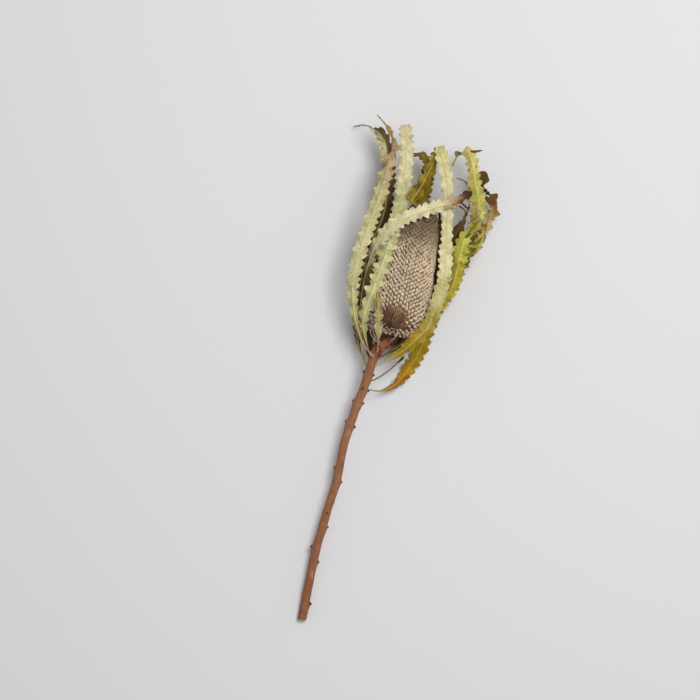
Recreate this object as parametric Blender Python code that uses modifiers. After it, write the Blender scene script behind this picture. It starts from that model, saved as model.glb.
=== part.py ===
"""Dried banksia cone: a cut stem, the flower spike it carries, and the toothed leaves around it.

The specimen lies on its side on a flat surface. Shapes are laid out in a page frame, in
millimetres: u runs to the right and v up the page, from the neck where the stem meets the spike,
and z is the height over the surface. The empty "specimen" turns the page so that the stem runs
along +Y, and puts the middle of the box on the origin.
"""

import math
import random
from dataclasses import dataclass

import bmesh
import bpy
import numpy as np
from mathutils import Matrix, Vector

MM = 0.001
WELD = 0.003
PATH_STEPS = 24
LENGTH_STEPS = 400
SHARP_ANGLE = math.radians(50)
UP = np.array([0.0, 0.0, 1.0])

# Placing of the page frame in the part's own frame
PAGE_TURN = 16.0
BOX_MIDDLE = (-6.1, -34.8)

# Flower spike: a blunt egg on the axis from its base to its apex, covered in florets
SPIKE_BASE = (6.3, 3.9, 27.0)
SPIKE_APEX = (29.8, 101.9, 32.0)
SPIKE_RADIUS = 21.8
SPIKE_FATTEST = 0.2
SPIKE_TAPER = 0.5
SPIKE_FOOT = 0.42
SPIKE_CROWN = 10
FLORET_COLUMNS = 20
FLORET_ROWS = 44
FLORET_HEIGHT = 1.7
FLORET_LEAN = 0.9
FLORET_POLE_ROWS = 0.35
FLORET_SMALL_RADIUS = 8.0

# Stem: centreline from the cut end to its top, with leaf scars along it and bracts at the neck
STEM_PATH = (
    (-66, -224, 3.35), (-55.6, -172, 8.0), (-46.5, -140, 10.9), (-38.6, -114, 13.1),
    (-32.2, -83, 15.8), (-22.7, -55, 18.8), (-16.6, -39.2, 20.8), (-10.4, -20.4, 23.0),
    (-6, -10, 24.6), (0, -5, 25.7), (4.5, -1, 26.4), (5.9, 2.6, 26.8),
)
STEM_RADIUS = 3.5
NECK_RADIUS = 4.3
NECK_LENGTH = 30.0
STEM_LOOK = 0.01
STEM_RINGS = 28
NECK_CROWDING = 1.5
STEM_SIDES_STEP = 3
SCAR_SPACING = 9.0
SCAR_FIRST = 6.0
SCAR_LAST_BELOW_TOP = 44.0
SCAR_TURN = 137.5
SCAR_RADIUS = 1.3
SCAR_RISE = np.array([0.12, 0.4, 0.0])
PEG_SIDES = 6
PEG_LENGTH = 3.2
PEG_TAPER = 0.6
BRACTS = 10
BRACT_BELOW_TOP = 8.0
BRACT_SPACING = 0.8
BRACT_RADIUS = 1.5
BRACT_SINK = 0.3

# Withered flowers: a collar round the neck, and the strands that grow from it
COLLAR_RADIUS = 10.0
STRAND_START = ((-1.4, -1.3), (2.8, 0.0), (8.5, 1.2))
STRAND_SHARES = (0.3, 0.65, 1.0)
COLLAR_BORE = 5.4
COLLAR_FLOOR = -3.8
COLLAR_TOP = -0.6
COLLAR_WAIST = 0.75
COLLAR_STEPS = 24
STRANDS = 26
STRAND_SEED = 3
STRAND_SCATTER = 0.15
STRAND_TWIST = 0.01
STRAND_REACH = (4.5, 7.0)
STRAND_LONG_SIDE = math.radians(106)
STRAND_LONG_REACH = 12.0
STRAND_FLOOR = 0.6
STRAND_CLEARANCE = 1.6
STRAND_RADII = (0.8, 0.88, 0.88, 0.76, 0.6, 0.32)

# Bare stalk of a leaf whose blade has broken off
STALK_PATH = ((1, -29, 17.5), (9, -22, 17), (14, -17.5, 18.5))
STALK_BELOW_TOP = 44.0
STALK_SIDE = 95.0
STALK_RADII = (0.68, 1.0)
STALK_RINGS = 12

# Leaves
BLADE_THICKNESS = 0.8
PETIOLE_WIDTH = 2.2
TOOTH_PITCH = 6.0
TOOTH_DEPTH = 0.34
TOOTH_SWEEP = 0.62
TAPER_START = 0.75
WAVE_TURN = 0.38
WAVE_SHIFT = 0.9
ROOT_GAP = 0.9
ROOT_RUN = 2.0
ROOT_LEAN = np.array([0.5, 1.3, 0.0])
ROOT_WIDTH = 0.55
ROOT_SPREAD = 0.1
PETIOLE_ROWS = (0, 0.3, 0.65)

STRAW = (0.62, 0.58, 0.36)
SAGE = (0.58, 0.60, 0.40)
OLIVE = (0.42, 0.38, 0.08)
OCHRE = (0.46, 0.30, 0.06)
BROWN = (0.26, 0.17, 0.06)
BARK = (0.42, 0.24, 0.16)
FLORET = (0.60, 0.48, 0.36)
WITHERED = (0.30, 0.15, 0.10)


@dataclass(frozen=True)
class Leaf:
    """One leaf: where its stalk meets the stem, and the line that its midrib follows.

    below_top is how far down the stem the stalk leaves it, and side the way it leaves, in degrees
    round the stem from straight up, positive to the right. A row of path is (u, v, z, roll). The
    pale outer side faces up at roll 0, and the inner side at roll 180. The blade reaches its full
    width over the share "growth" of its length, and keeps the share "tip" of it at its tip.
    """

    name: str
    below_top: float
    side: float
    colour: tuple
    path: tuple
    width: float = 13.0
    petiole: float = 16.0
    growth: float = 0.4
    tip: float = 0.55
    keel: float = 0.16
    wave: float = 0.7


LEAVES = (
    Leaf("leaf_left", 33, -75, SAGE, (
        (-18, -8, 27, -25), (-23, 8, 31, -20), (-26, 27, 34, -15), (-26, 39, 36, -10),
        (-23, 57, 39, -8), (-15, 82, 42, -10), (-6, 106, 44, -18), (2, 133, 44, -40),
        (6, 147, 43, -62), (4, 156, 42, -70), (-1, 165, 40, -60), (-7, 172, 38, -50)),
        tip=0.2),
    Leaf("leaf_tall", 26, -40, SAGE, (
        (-17.2, 3, 32.6, -30), (-17.6, 14, 37.2, -34), (-14, 26, 40, -36), (-9, 39, 42, -34),
        (-2, 58, 43.5, -28), (3, 75, 43.5, -20), (9, 93, 42.5, -8), (12, 104, 42.5, 0),
        (15, 129, 43, 5), (16, 147, 44, 5), (15, 164, 45, 0))),
    Leaf("leaf_crossing", 29, -105, STRAW, (
        (-19, 2, 20, -40), (-20, 18, 22, -50), (-18, 36, 26, -60), (-14, 54, 33, -60),
        (-8, 70, 41, -45), (2, 82, 49, -25), (15, 91, 52, -8), (34, 98, 51, 0),
        (54, 104, 48.5, 5), (67, 111, 45, 15))),
    Leaf("leaf_short", 21, 5, STRAW, (
        (-6, -4, 35, 0), (-6, 5, 46, -10), (-6, 17, 53, -20), (-6.5, 34, 54.5, -25)),
        width=8.5, petiole=9),
    Leaf("leaf_folded", 31, 70, SAGE, (
        (1, -20, 27, 20), (10, -14.5, 33, 15), (18, -8.5, 40, 12), (25, -2, 43.5, 12),
        (32, 6, 45, 10), (38, 20, 44, 10), (45, 43, 42, 15), (47, 67, 42, 12),
        (48, 94, 43, 5), (48, 114, 44, 0), (46, 130, 45, 0), (43.5, 139, 45.5, 0),
        (42, 145, 44, 0), (41.2, 147, 41, 0), (40.4, 145, 38, 0), (38.5, 139, 36.5, 0),
        (33.5, 128, 36.5, 0), (28, 117, 40.5, 0), (21, 104, 46, 0)),
        petiole=9, growth=0.16, tip=0.8, keel=0.05, wave=0.4),
    Leaf("leaf_right", 24, 100, OLIVE, (
        (11, -8, 13, 180), (22, 1, 8, 180), (31, 10, 8.5, 185), (42, 24, 16, 190),
        (52, 38, 26, 195), (57, 57, 31, 195), (61, 74, 34, 185), (69, 86, 35, 165),
        (74, 102, 36, 170), (72, 118, 38, 180), (69, 133, 39, 190), (64, 143, 38, 225),
        (57, 141, 35, 255), (52, 132, 32, 265)),
        growth=0.22, tip=0.4),
    Leaf("leaf_outer", 52.5, 95, OCHRE, (
        (-8, -44, 15, 180), (0, -43, 11, 180), (9, -38, 7, 180), (17, -28, 3.5, 180),
        (25, -16, 2, 180), (29.5, -6, 1, 180), (33, 4, 0.4, 180), (38.5, 18, 0.4, 180),
        (46, 31, 1.5, 180), (53.5, 43, 5, 170), (62, 57, 10, 130), (72, 70.5, 14, 90),
        (79, 82, 17, 70), (83.5, 93, 19, 60), (85.5, 100.5, 21, 55), (84, 107, 24, 75),
        (79.5, 112, 25, 110), (76, 117, 25, 140), (76, 123, 26, 160), (78, 128, 27, 170)),
        growth=0.2),
    Leaf("leaf_behind_spike", 14, 120, BROWN, (
        (4, -8, 17, 180), (12, -1, 8, 180), (22, 6, 4, 180), (31, 16, 4.5, 180),
        (38, 30, 9.5, 185), (43, 46, 16, 190), (48, 57, 19, 190), (52, 71, 23, 195),
        (56, 82, 26, 200), (61, 90, 28, 210), (62, 97, 29, 230), (57, 101, 29, 250)),
        width=9, tip=0.3),
    Leaf("leaf_back_left", 37, -150, OLIVE, (
        (-21, -10, 10, 180), (-23, 6, 3, 180), (-22, 28, 0.4, 180), (-18, 50, 3, 180),
        (-10, 74, 10, 180), (-2, 94, 18, 180), (2, 112, 24, 180), (4, 130, 27, 178),
        (3, 148, 28, 170), (-2, 158, 26, 150), (-10, 163, 20, 120), (-18, 165, 12, 100),
        (-25, 164, 6, 90)),
        tip=0.15),
    Leaf("leaf_under", 30, 180, OLIVE, (
        (-8, -8, 10, 180), (-2, 8, 3, 180), (4, 22, 0.6, 180), (10, 38, 0.4, 180),
        (15, 54, 0.4, 180), (20, 70, 0.4, 180), (24, 86, 2, 180), (28, 102, 8, 180),
        (31, 118, 16, 180), (33, 130, 22, 200), (32, 137, 27, 240), (27, 141, 29, 260),
        (21, 141, 28, 265)),
        keel=0.0, wave=0.0),
    Leaf("leaf_back_right", 19, 160, BROWN, (
        (3, -4, 9, 180), (11, 7, 3, 180), (20, 20, 0.8, 180), (30, 36, 0.6, 180),
        (40, 52, 0.6, 180), (48, 66, 3, 180), (56, 80, 9, 180), (63, 94, 15, 180),
        (66, 105, 20, 185), (66, 113, 25, 200), (62, 120, 28, 230), (55, 123, 29, 250)),
        width=10, tip=0.25),
)


def clear_scene():
    """Removes whatever the scene holds."""
    for thing in list(bpy.data.objects):
        bpy.data.objects.remove(thing)


def new_collection(name):
    """A new collection in the scene."""
    collection = bpy.data.collections.new(name)
    bpy.context.scene.collection.children.link(collection)
    return collection


def material(name, colour, roughness=0.8):
    """A plain dry finish."""
    made = bpy.data.materials.new(name)
    made.use_nodes = True
    shader = made.node_tree.nodes["Principled BSDF"]
    shader.inputs["Base Color"].default_value = (*colour, 1.0)
    shader.inputs["Roughness"].default_value = roughness
    shader.inputs["Metallic"].default_value = 0.0
    return made


def mesh_from(bm, name):
    """Turns a bmesh into a mesh and frees it."""
    mesh = bpy.data.meshes.new(name)
    bm.to_mesh(mesh)
    bm.free()
    return mesh


def place(name, mesh, collection, parent=None, finish=None):
    """Adds an object for this mesh or curve."""
    thing = bpy.data.objects.new(name, mesh)
    thing.parent = parent
    collection.objects.link(thing)
    if finish:
        thing.data.materials.append(finish)
    return thing


def smooth_path(points, places):
    """Points on a smooth curve through the given rows.

    The curve is a Catmull-Rom spline. Columns past the third, such as a roll, follow along. The
    places are shares of the curve's length, or a count of evenly spaced points.
    """
    points = np.array(points, float)
    padded = np.vstack([2 * points[0] - points[1], points, 2 * points[-1] - points[-2]])
    steps = np.linspace(0, 1, PATH_STEPS, endpoint=False)[:, None]
    dense = []
    for before, start, end, after in zip(padded, padded[1:], padded[2:], padded[3:]):
        dense.append(0.5 * (
            2 * start + (end - before) * steps
            + (2 * before - 5 * start + 4 * end - after) * steps**2
            + (3 * start - before - 3 * end + after) * steps**3))
    dense = np.vstack([*dense, points[-1:]])
    run = np.concatenate([[0], np.cumsum(np.linalg.norm(np.diff(dense[:, :3], axis=0), axis=1))])
    shares = np.linspace(0, 1, places) if np.isscalar(places) else np.asarray(places)
    return np.column_stack([np.interp(shares * run[-1], run, column) for column in dense.T])


def length_of(points):
    """Length of the smooth curve through these rows."""
    dense = smooth_path(points, LENGTH_STEPS)[:, :3]
    return float(np.linalg.norm(np.diff(dense, axis=0), axis=1).sum())


def carried_normals(path, reference):
    """Unit tangents and normals along a path, with no needless twist.

    At the reference row the normal is as near to straight up as the tangent lets it be.
    """
    tangents = np.gradient(path, axis=0)
    tangents /= np.linalg.norm(tangents, axis=1)[:, None]
    normals = np.zeros_like(path)
    start = UP - tangents[reference] * (UP @ tangents[reference])
    normals[reference] = start / np.linalg.norm(start)
    for order in (range(reference, len(path) - 1), range(reference, 0, -1)):
        step = 1 if order.step > 0 else -1
        for row in order:
            turned = Vector(tangents[row]).rotation_difference(Vector(tangents[row + step]))
            carried = np.array(turned @ Vector(normals[row]))
            carried -= tangents[row + step] * (carried @ tangents[row + step])
            normals[row + step] = carried / np.linalg.norm(carried)
    return tangents, normals


def stem_point(below_top, side, lift):
    """A point near the stem: this far down from its top, and lift outside its surface.

    Returns the point and the way out from the stem's centreline there.
    """
    share = 1 - below_top / length_of(STEM_PATH)
    here, centre, ahead = smooth_path(STEM_PATH, (share - STEM_LOOK, share, share + STEM_LOOK))
    along = (ahead - here) / np.linalg.norm(ahead - here)
    up = UP - along * along[2]
    up /= np.linalg.norm(up)
    right = np.cross(along, up)
    angle = math.radians(side)
    out = up * math.cos(angle) + right * math.sin(angle)
    return centre + out * (stem_radius(below_top) + lift), out


def stem_radius(below_top):
    """The stem's radius, which swells a little towards the neck."""
    swell = max(0.0, 1 - below_top / NECK_LENGTH)
    return STEM_RADIUS + (NECK_RADIUS - STEM_RADIUS) * swell


def tube(name, rows, radii, sides_step, collection, parent=None):
    """A closed tapered tube along these points, as a mesh object in metres."""
    curve = bpy.data.curves.new(name, "CURVE")
    curve.dimensions = "3D"
    curve.bevel_depth = MM
    curve.bevel_resolution = sides_step
    curve.use_fill_caps = True
    spline = curve.splines.new("POLY")
    spline.points.add(len(rows) - 1)
    for point, row, radius in zip(spline.points, rows, radii):
        point.co = (*(np.array(row[:3]) * MM), 1)
        point.radius = radius
    guide = place(name + "_line", curve, collection)
    bpy.context.view_layer.update()
    graph = bpy.context.evaluated_depsgraph_get()
    mesh = bpy.data.meshes.new_from_object(guide.evaluated_get(graph))
    bpy.data.objects.remove(guide)
    bm = bmesh.new()
    bm.from_mesh(mesh)
    bmesh.ops.remove_doubles(bm, verts=bm.verts, dist=WELD * MM)
    bmesh.ops.recalc_face_normals(bm, faces=bm.faces)
    bm.to_mesh(mesh)
    bm.free()
    mesh.materials.clear()
    mesh.shade_smooth()
    mesh.set_sharp_from_angle(angle=SHARP_ANGLE)
    return place(name, mesh, collection, parent)


def fuse(body, twigs):
    """Joins every object of a collection into the body, and removes them."""
    union = body.modifiers.new("twigs", "BOOLEAN")
    union.operation = "UNION"
    union.solver = "MANIFOLD"
    union.operand_type = "COLLECTION"
    union.collection = twigs
    bpy.context.view_layer.objects.active = body
    bpy.context.view_layer.update()
    bpy.ops.object.modifier_apply(modifier=union.name)
    for thing in list(twigs.objects):
        bpy.data.objects.remove(thing)
    bpy.data.collections.remove(twigs)
    bm = bmesh.new()
    bm.from_mesh(body.data)
    bmesh.ops.remove_doubles(bm, verts=bm.verts, dist=WELD * MM)
    bmesh.ops.triangulate(bm, faces=bm.faces)
    bm.to_mesh(body.data)
    bm.free()


def spike_radius(share):
    """Radius of the spike between its florets, at this share of its length from the base."""
    taper = 1 - SPIKE_TAPER * (share - SPIKE_FATTEST)
    foot = 1 - SPIKE_FOOT * max(0.0, 1 - share / SPIKE_FATTEST) ** 3
    crown = math.sqrt(max(0.0, 1 - share**SPIKE_CROWN))
    return SPIKE_RADIUS * taper * foot * crown


def spike_axis():
    """The spike's base, its unit axis and its length."""
    base, apex = np.array(SPIKE_BASE), np.array(SPIKE_APEX)
    length = float(np.linalg.norm(apex - base))
    return base, (apex - base) / length, length


def stand_on_stem(thing, base, axis):
    """Turns an object that was made upright onto the spike's axis."""
    thing.location = Vector(base) * MM
    thing.rotation_mode = "QUATERNION"
    thing.rotation_quaternion = Vector(axis).to_track_quat("Z", "Y")


def build_spike(collection, root):
    """The flower spike: a ball drawn out to an egg, every second point raised to a floret's tip."""
    base, axis, length = spike_axis()
    bm = bmesh.new()
    bmesh.ops.create_uvsphere(
        bm, u_segments=2 * FLORET_COLUMNS, v_segments=FLORET_ROWS, radius=1.0)
    for vert in bm.verts:
        row = round(math.acos(max(-1.0, min(1.0, vert.co.z))) / math.pi * FLORET_ROWS)
        if row in (0, FLORET_ROWS):
            vert.co = Vector((0, 0, length if row == 0 else 0)) * MM
            continue
        angle = math.atan2(vert.co.y, vert.co.x)
        column = round(angle / math.pi * FLORET_COLUMNS)
        share = 1 - (row - FLORET_POLE_ROWS) / (FLORET_ROWS - 2 * FLORET_POLE_ROWS)
        radius = spike_radius(share)
        along = share * length
        if (row + column) % 2:
            radius += FLORET_HEIGHT * min(1.0, radius / FLORET_SMALL_RADIUS)
            along += FLORET_LEAN
        vert.co = Vector((radius * math.cos(angle), radius * math.sin(angle), along)) * MM
    bmesh.ops.triangulate(bm, faces=bm.faces, quad_method="SHORT_EDGE")
    spike = place(
        "spike", mesh_from(bm, "spike"), collection, root, material("floret_tips", FLORET, 0.85))
    stand_on_stem(spike, base, axis)


def strand_profile(reach, length):
    """Radius and height of each point of a strand that starts in the collar and ends at reach."""
    rows = [(COLLAR_RADIUS + out, COLLAR_TOP + rise) for out, rise in STRAND_START]
    for step in STRAND_SHARES:
        height = STRAND_FLOOR + (reach - STRAND_FLOOR) * step
        rows.append((spike_radius(height / length) + FLORET_HEIGHT + STRAND_CLEARANCE, height))
    return rows


def build_withered_flowers(collection, root):
    """A collar round the neck with the strands of withered flowers that lie up the spike."""
    base, axis, length = spike_axis()
    bm = bmesh.new()
    ring = ((COLLAR_RADIUS, COLLAR_TOP), (COLLAR_RADIUS * COLLAR_WAIST, COLLAR_FLOOR),
            (COLLAR_BORE, COLLAR_FLOOR), (COLLAR_BORE, COLLAR_TOP))
    corners = [bm.verts.new((radius * MM, 0, height * MM)) for radius, height in ring]
    for start, end in zip(corners, corners[1:] + corners[:1]):
        bm.edges.new((start, end))
    collar = place(
        "withered_flowers", mesh_from(bm, "withered_flowers"), collection, None,
        material("withered_strands", WITHERED, 0.9))
    screw = collar.modifiers.new("turned", "SCREW")
    screw.steps = COLLAR_STEPS
    screw.render_steps = COLLAR_STEPS
    screw.use_merge_vertices = True
    screw.merge_threshold = WELD * MM
    bpy.context.view_layer.objects.active = collar
    bpy.context.view_layer.update()
    bpy.ops.object.modifier_apply(modifier=screw.name)
    twigs = new_collection("strands")
    draw = random.Random(STRAND_SEED)
    for number in range(STRANDS):
        angle = 2 * math.pi * (number + draw.uniform(-STRAND_SCATTER, STRAND_SCATTER)) / STRANDS
        upward = max(0.0, math.cos(angle - STRAND_LONG_SIDE))
        reach = draw.uniform(*STRAND_REACH) + STRAND_LONG_REACH * upward**4
        twist = draw.uniform(-STRAND_TWIST, STRAND_TWIST)
        points = []
        for step, (radius, height) in enumerate(strand_profile(reach, length)):
            turned = angle + twist * step
            points.append((radius * math.cos(turned), radius * math.sin(turned), height))
        tube(f"strand_{number}", points, STRAND_RADII, 0, twigs)
    fuse(collar, twigs)
    collar.parent = root
    stand_on_stem(collar, base, axis)


def peg(name, point, out, radius, collection):
    """A small tapered peg that stands out from a surface, with half its length sunk in."""
    bm = bmesh.new()
    bmesh.ops.create_cone(
        bm, cap_ends=True, segments=PEG_SIDES, radius1=radius * MM,
        radius2=radius * PEG_TAPER * MM, depth=PEG_LENGTH * MM)
    thing = place(name, mesh_from(bm, name), collection)
    turn = Vector(out).to_track_quat("Z", "Y").to_matrix().to_4x4()
    thing.matrix_world = Matrix.Translation(Vector(point) * MM) @ turn


def build_stem(collection, root):
    """The woody stem, cut square at its foot, with its leaf scars and the bracts at its neck."""
    total = length_of(STEM_PATH)
    shares = 1 - np.linspace(1, 0, STEM_RINGS) ** NECK_CROWDING
    rows = smooth_path(STEM_PATH, shares)
    radii = [stem_radius(total * (1 - share)) for share in shares]
    stem = tube("stem", rows, radii, STEM_SIDES_STEP, collection)
    twigs = new_collection("scars")
    for number in range(int((total - SCAR_FIRST - SCAR_LAST_BELOW_TOP) / SCAR_SPACING)):
        below_top = total - SCAR_FIRST - number * SCAR_SPACING
        point, out = stem_point(below_top, number * SCAR_TURN, 0.0)
        peg(f"scar_{number}", point, out + SCAR_RISE, SCAR_RADIUS, twigs)
    for number in range(BRACTS):
        below_top = BRACT_BELOW_TOP + BRACT_SPACING * number
        point, out = stem_point(below_top, (number + 0.5) * SCAR_TURN, -BRACT_SINK)
        peg(f"bract_{number}", point, out, BRACT_RADIUS, twigs)
    fuse(stem, twigs)
    stem.parent = root
    stem.data.materials.append(material("bark", BARK, 0.75))


def build_stalk(collection, root):
    """The bare stalk of a leaf that has lost its blade."""
    start, out = stem_point(STALK_BELOW_TOP, STALK_SIDE, ROOT_GAP)
    rows = smooth_path((start, start + out * ROOT_RUN + ROOT_LEAN, *STALK_PATH), STALK_RINGS)
    radii = np.linspace(*STALK_RADII, STALK_RINGS)
    stalk = tube("bare_stalk", rows, radii, 1, collection, root)
    stalk.data.materials.append(material("dead_stalk", BROWN, 0.85))


def half_width(leaf, along, length):
    """Half the blade's width between its teeth's tips, at this distance from the root."""
    stalk = PETIOLE_WIDTH / 2
    if along <= leaf.petiole:
        return stalk * min(1.0, ROOT_WIDTH + ROOT_SPREAD * along)
    share = (along - leaf.petiole) / (length - leaf.petiole)
    grown = math.sin(math.pi / 2 * min(1.0, share / leaf.growth))
    worn = max(0.0, (share - TAPER_START) / (1 - TAPER_START))
    return stalk + (leaf.width / 2 * (1 - (1 - leaf.tip) * worn * worn) - stalk) * grown


def leaf_stations(leaf, length):
    """Distances from the root at which the blade has a row of points, and whether each is a tip."""
    teeth = round((length - leaf.petiole) / TOOTH_PITCH)
    pitch = (length - leaf.petiole) / teeth
    stations = [(leaf.petiole * share, None) for share in PETIOLE_ROWS]
    for tooth in range(teeth):
        start = leaf.petiole + tooth * pitch
        stations += [(start, False), (start + TOOTH_SWEEP * pitch, True)]
    return [*stations, (length, False)]


def build_leaf(leaf, collection, root):
    """A toothed blade: an open strip of three columns, thickened to both sides."""
    start, out = stem_point(leaf.below_top, leaf.side, ROOT_GAP)
    roll = leaf.path[0][3]
    rows = [(*start, roll), (*(start + out * ROOT_RUN + ROOT_LEAN), roll), *leaf.path]
    length = length_of(rows)
    stations = leaf_stations(leaf, length)
    line = smooth_path(rows, np.array([along for along, _ in stations]) / length)
    tangents, normals = carried_normals(line[:, :3], len(line) // 3)
    bm = bmesh.new()
    bmesh.ops.create_grid(bm, x_segments=2, y_segments=len(line) - 1, size=1.0)
    for vert in bm.verts:
        column = round(vert.co.x)
        row = round((vert.co.y + 1) / 2 * (len(line) - 1))
        along, is_tip = stations[row]
        roll = math.radians(line[row, 3])
        facing = (normals[row] * math.cos(roll)
                  + np.cross(tangents[row], normals[row]) * math.sin(roll))
        across = np.cross(tangents[row], facing)
        wide = half_width(leaf, along, length)
        if is_tip is False:
            wide = max(wide * (1 - TOOTH_DEPTH), PETIOLE_WIDTH / 2)
        grown = wide / (leaf.width / 2)
        ripple = leaf.wave * grown * math.sin(along * WAVE_TURN + column * WAVE_SHIFT)
        height = abs(column) * (ripple - leaf.keel * wide)
        point = line[row, :3] + across * (column * wide) + facing * height
        point[2] = max(point[2], BLADE_THICKNESS / 2)
        vert.co = Vector(point) * MM
    bmesh.ops.triangulate(bm, faces=bm.faces)
    blade = place(leaf.name, mesh_from(bm, leaf.name), collection, root,
                  material(leaf.name + "_skin", leaf.colour))
    thicken = blade.modifiers.new("thickness", "SOLIDIFY")
    thicken.thickness = BLADE_THICKNESS * MM
    thicken.offset = 0.0


def main():
    """Builds the specimen in an empty scene."""
    clear_scene()
    collection = new_collection("banksia_cone")
    root = place("specimen", None, collection)
    build_stem(collection, root)
    build_spike(collection, root)
    build_withered_flowers(collection, root)
    build_stalk(collection, root)
    for leaf in LEAVES:
        build_leaf(leaf, collection, root)
    root.rotation_euler.z = math.radians(PAGE_TURN)
    root.location = -Vector((*BOX_MIDDLE, 0)) * MM


main()
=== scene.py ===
"""Dried banksia cone: the finished pieces that stand in for the plain solids of the frame.

The specimen lies on its side: a cut stem, the flower spike it carries, the withered flowers at
its neck, and the toothed leaves around it. Shapes are laid out in a page frame, in millimetres:
u runs to the right and v up the page, from the neck where the stem meets the spike, and z is the
height over the surface. on_floor() turns the page into the frame's own metres.
"""

import logging
import math
from collections.abc import Sequence
from dataclasses import dataclass, field
from enum import Enum

import bmesh
import bpy
import numpy as np
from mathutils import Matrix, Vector


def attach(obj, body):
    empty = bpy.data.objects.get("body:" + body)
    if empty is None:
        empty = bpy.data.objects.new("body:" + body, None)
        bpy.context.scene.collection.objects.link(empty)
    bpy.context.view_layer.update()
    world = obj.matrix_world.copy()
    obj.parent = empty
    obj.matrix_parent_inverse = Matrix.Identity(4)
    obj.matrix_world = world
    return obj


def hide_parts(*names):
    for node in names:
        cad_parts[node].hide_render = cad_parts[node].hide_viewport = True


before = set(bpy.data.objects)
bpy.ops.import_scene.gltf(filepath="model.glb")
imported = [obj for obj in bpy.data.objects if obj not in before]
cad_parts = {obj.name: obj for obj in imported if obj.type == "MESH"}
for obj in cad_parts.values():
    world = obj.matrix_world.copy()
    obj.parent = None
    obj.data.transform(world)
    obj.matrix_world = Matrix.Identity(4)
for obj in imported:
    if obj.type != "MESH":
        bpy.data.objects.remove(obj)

log = logging.getLogger("banksia")

Colour = tuple[float, float, float, float]
Stops = Sequence[tuple[float, Colour]]

MM = 0.001
BODY = "root"
UP = np.array([0.0, 0.0, 1.0])

# Placing of the page frame in the frame's own metres
PAGE_TURN = math.radians(16.0)
BOX_MIDDLE = (-6.1, -34.8)

# What the camera shows of the page, and the height at which that holds
PAGE_ACROSS = 548.8
PAGE_CENTRE = (-28.2, -11.8)
FOCUS_HEIGHT = 25.0

PATH_STEPS = 24
LENGTH_STEPS = 400
SHARP_ANGLE = math.radians(50)
LOWEST = 0.03
TINY = 1e-12

STEM_PATH = (
    (-66, -224, 3.35), (-55.6, -172, 8.0), (-46.5, -140, 10.9), (-38.6, -114, 13.1),
    (-32.2, -83, 15.8), (-22.7, -55, 18.8), (-16.6, -39.2, 20.8), (-10.4, -20.4, 23.0),
    (-6, -10, 24.6), (0, -5, 25.7), (4.5, -1, 26.4), (5.9, 2.6, 26.8),
)
STEM_RADIUS = 3.5
NECK_RADIUS = 4.3
NECK_LENGTH = 30.0
AIM_SHARE = 0.01

SPIKE_BASE = (6.3, 3.9, 27.0)
SPIKE_APEX = (29.8, 101.9, 32.0)

# The solids' tooth pitch, which places the row at which a leaf's normal points straight up
SOLID_PITCH = 6.0
SOLID_SWEEP = 0.62
SOLID_STALK_SHARES = (0, 0.3, 0.65)
ROOT_GAP = 0.9
ROOT_RUN = 2.0
ROOT_LEAN = np.array([0.5, 1.3, 0.0])


class Face(Enum):
    """The two faces of a leaf: the pale felted outer one, and the greener inner one."""

    OUTER = 1.0
    INNER = 0.0


class StrandKind(Enum):
    """What a withered strand is: a brown style, or a papery cream bract."""

    STYLE = 0.0
    BRACT = 1.0


def tint(red: int, green: int, blue: int) -> Colour:
    """A colour for the nodes, from values of 0 to 255 as a screen shows them.

    Args:
        red: The red part.
        green: The green part.
        blue: The blue part.

    Returns:
        The linear colour, with full alpha.
    """
    parts = [value / 255 for value in (red, green, blue)]
    linear = [part / 12.92 if part <= 0.04045 else ((part + 0.055) / 1.055) ** 2.4
              for part in parts]
    return (linear[0], linear[1], linear[2], 1.0)


def on_floor(points: np.ndarray) -> np.ndarray:
    """Page millimetres as metres in the frame.

    Args:
        points: Rows of (u, v, z).

    Returns:
        Rows of (x, y, z).
    """
    cosine, sine = math.cos(PAGE_TURN), math.sin(PAGE_TURN)
    turned = np.column_stack([
        points[:, 0] * cosine - points[:, 1] * sine - BOX_MIDDLE[0],
        points[:, 0] * sine + points[:, 1] * cosine - BOX_MIDDLE[1],
        points[:, 2]])
    return turned * MM


def unit(rows: np.ndarray) -> np.ndarray:
    """Each row at length 1."""
    return rows / np.maximum(np.linalg.norm(rows, axis=-1, keepdims=True), TINY)


def smooth_path(points: Sequence[Sequence[float]], places: Sequence[float] | int) -> np.ndarray:
    """Points on a Catmull-Rom curve through the given rows.

    Args:
        points: Rows of (u, v, z), with any further columns following along.
        places: Shares of the curve's length, or a count of evenly spaced points.

    Returns:
        One row for each place.
    """
    rows = np.array(points, float)
    padded = np.vstack([2 * rows[0] - rows[1], rows, 2 * rows[-1] - rows[-2]])
    steps = np.linspace(0, 1, PATH_STEPS, endpoint=False)[:, None]
    dense = []
    for before, start, end, after in zip(padded, padded[1:], padded[2:], padded[3:]):
        dense.append(0.5 * (
            2 * start + (end - before) * steps
            + (2 * before - 5 * start + 4 * end - after) * steps**2
            + (3 * start - before - 3 * end + after) * steps**3))
    curve = np.vstack([*dense, rows[-1:]])
    run = np.concatenate([[0], np.cumsum(np.linalg.norm(np.diff(curve[:, :3], axis=0), axis=1))])
    shares = np.linspace(0, 1, places) if isinstance(places, int) else np.asarray(places)
    return np.column_stack([np.interp(shares * run[-1], run, column) for column in curve.T])


def length_of(points: Sequence[Sequence[float]]) -> float:
    """Length of the smooth curve through these rows."""
    dense = smooth_path(points, LENGTH_STEPS)[:, :3]
    return float(np.linalg.norm(np.diff(dense, axis=0), axis=1).sum())


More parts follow.
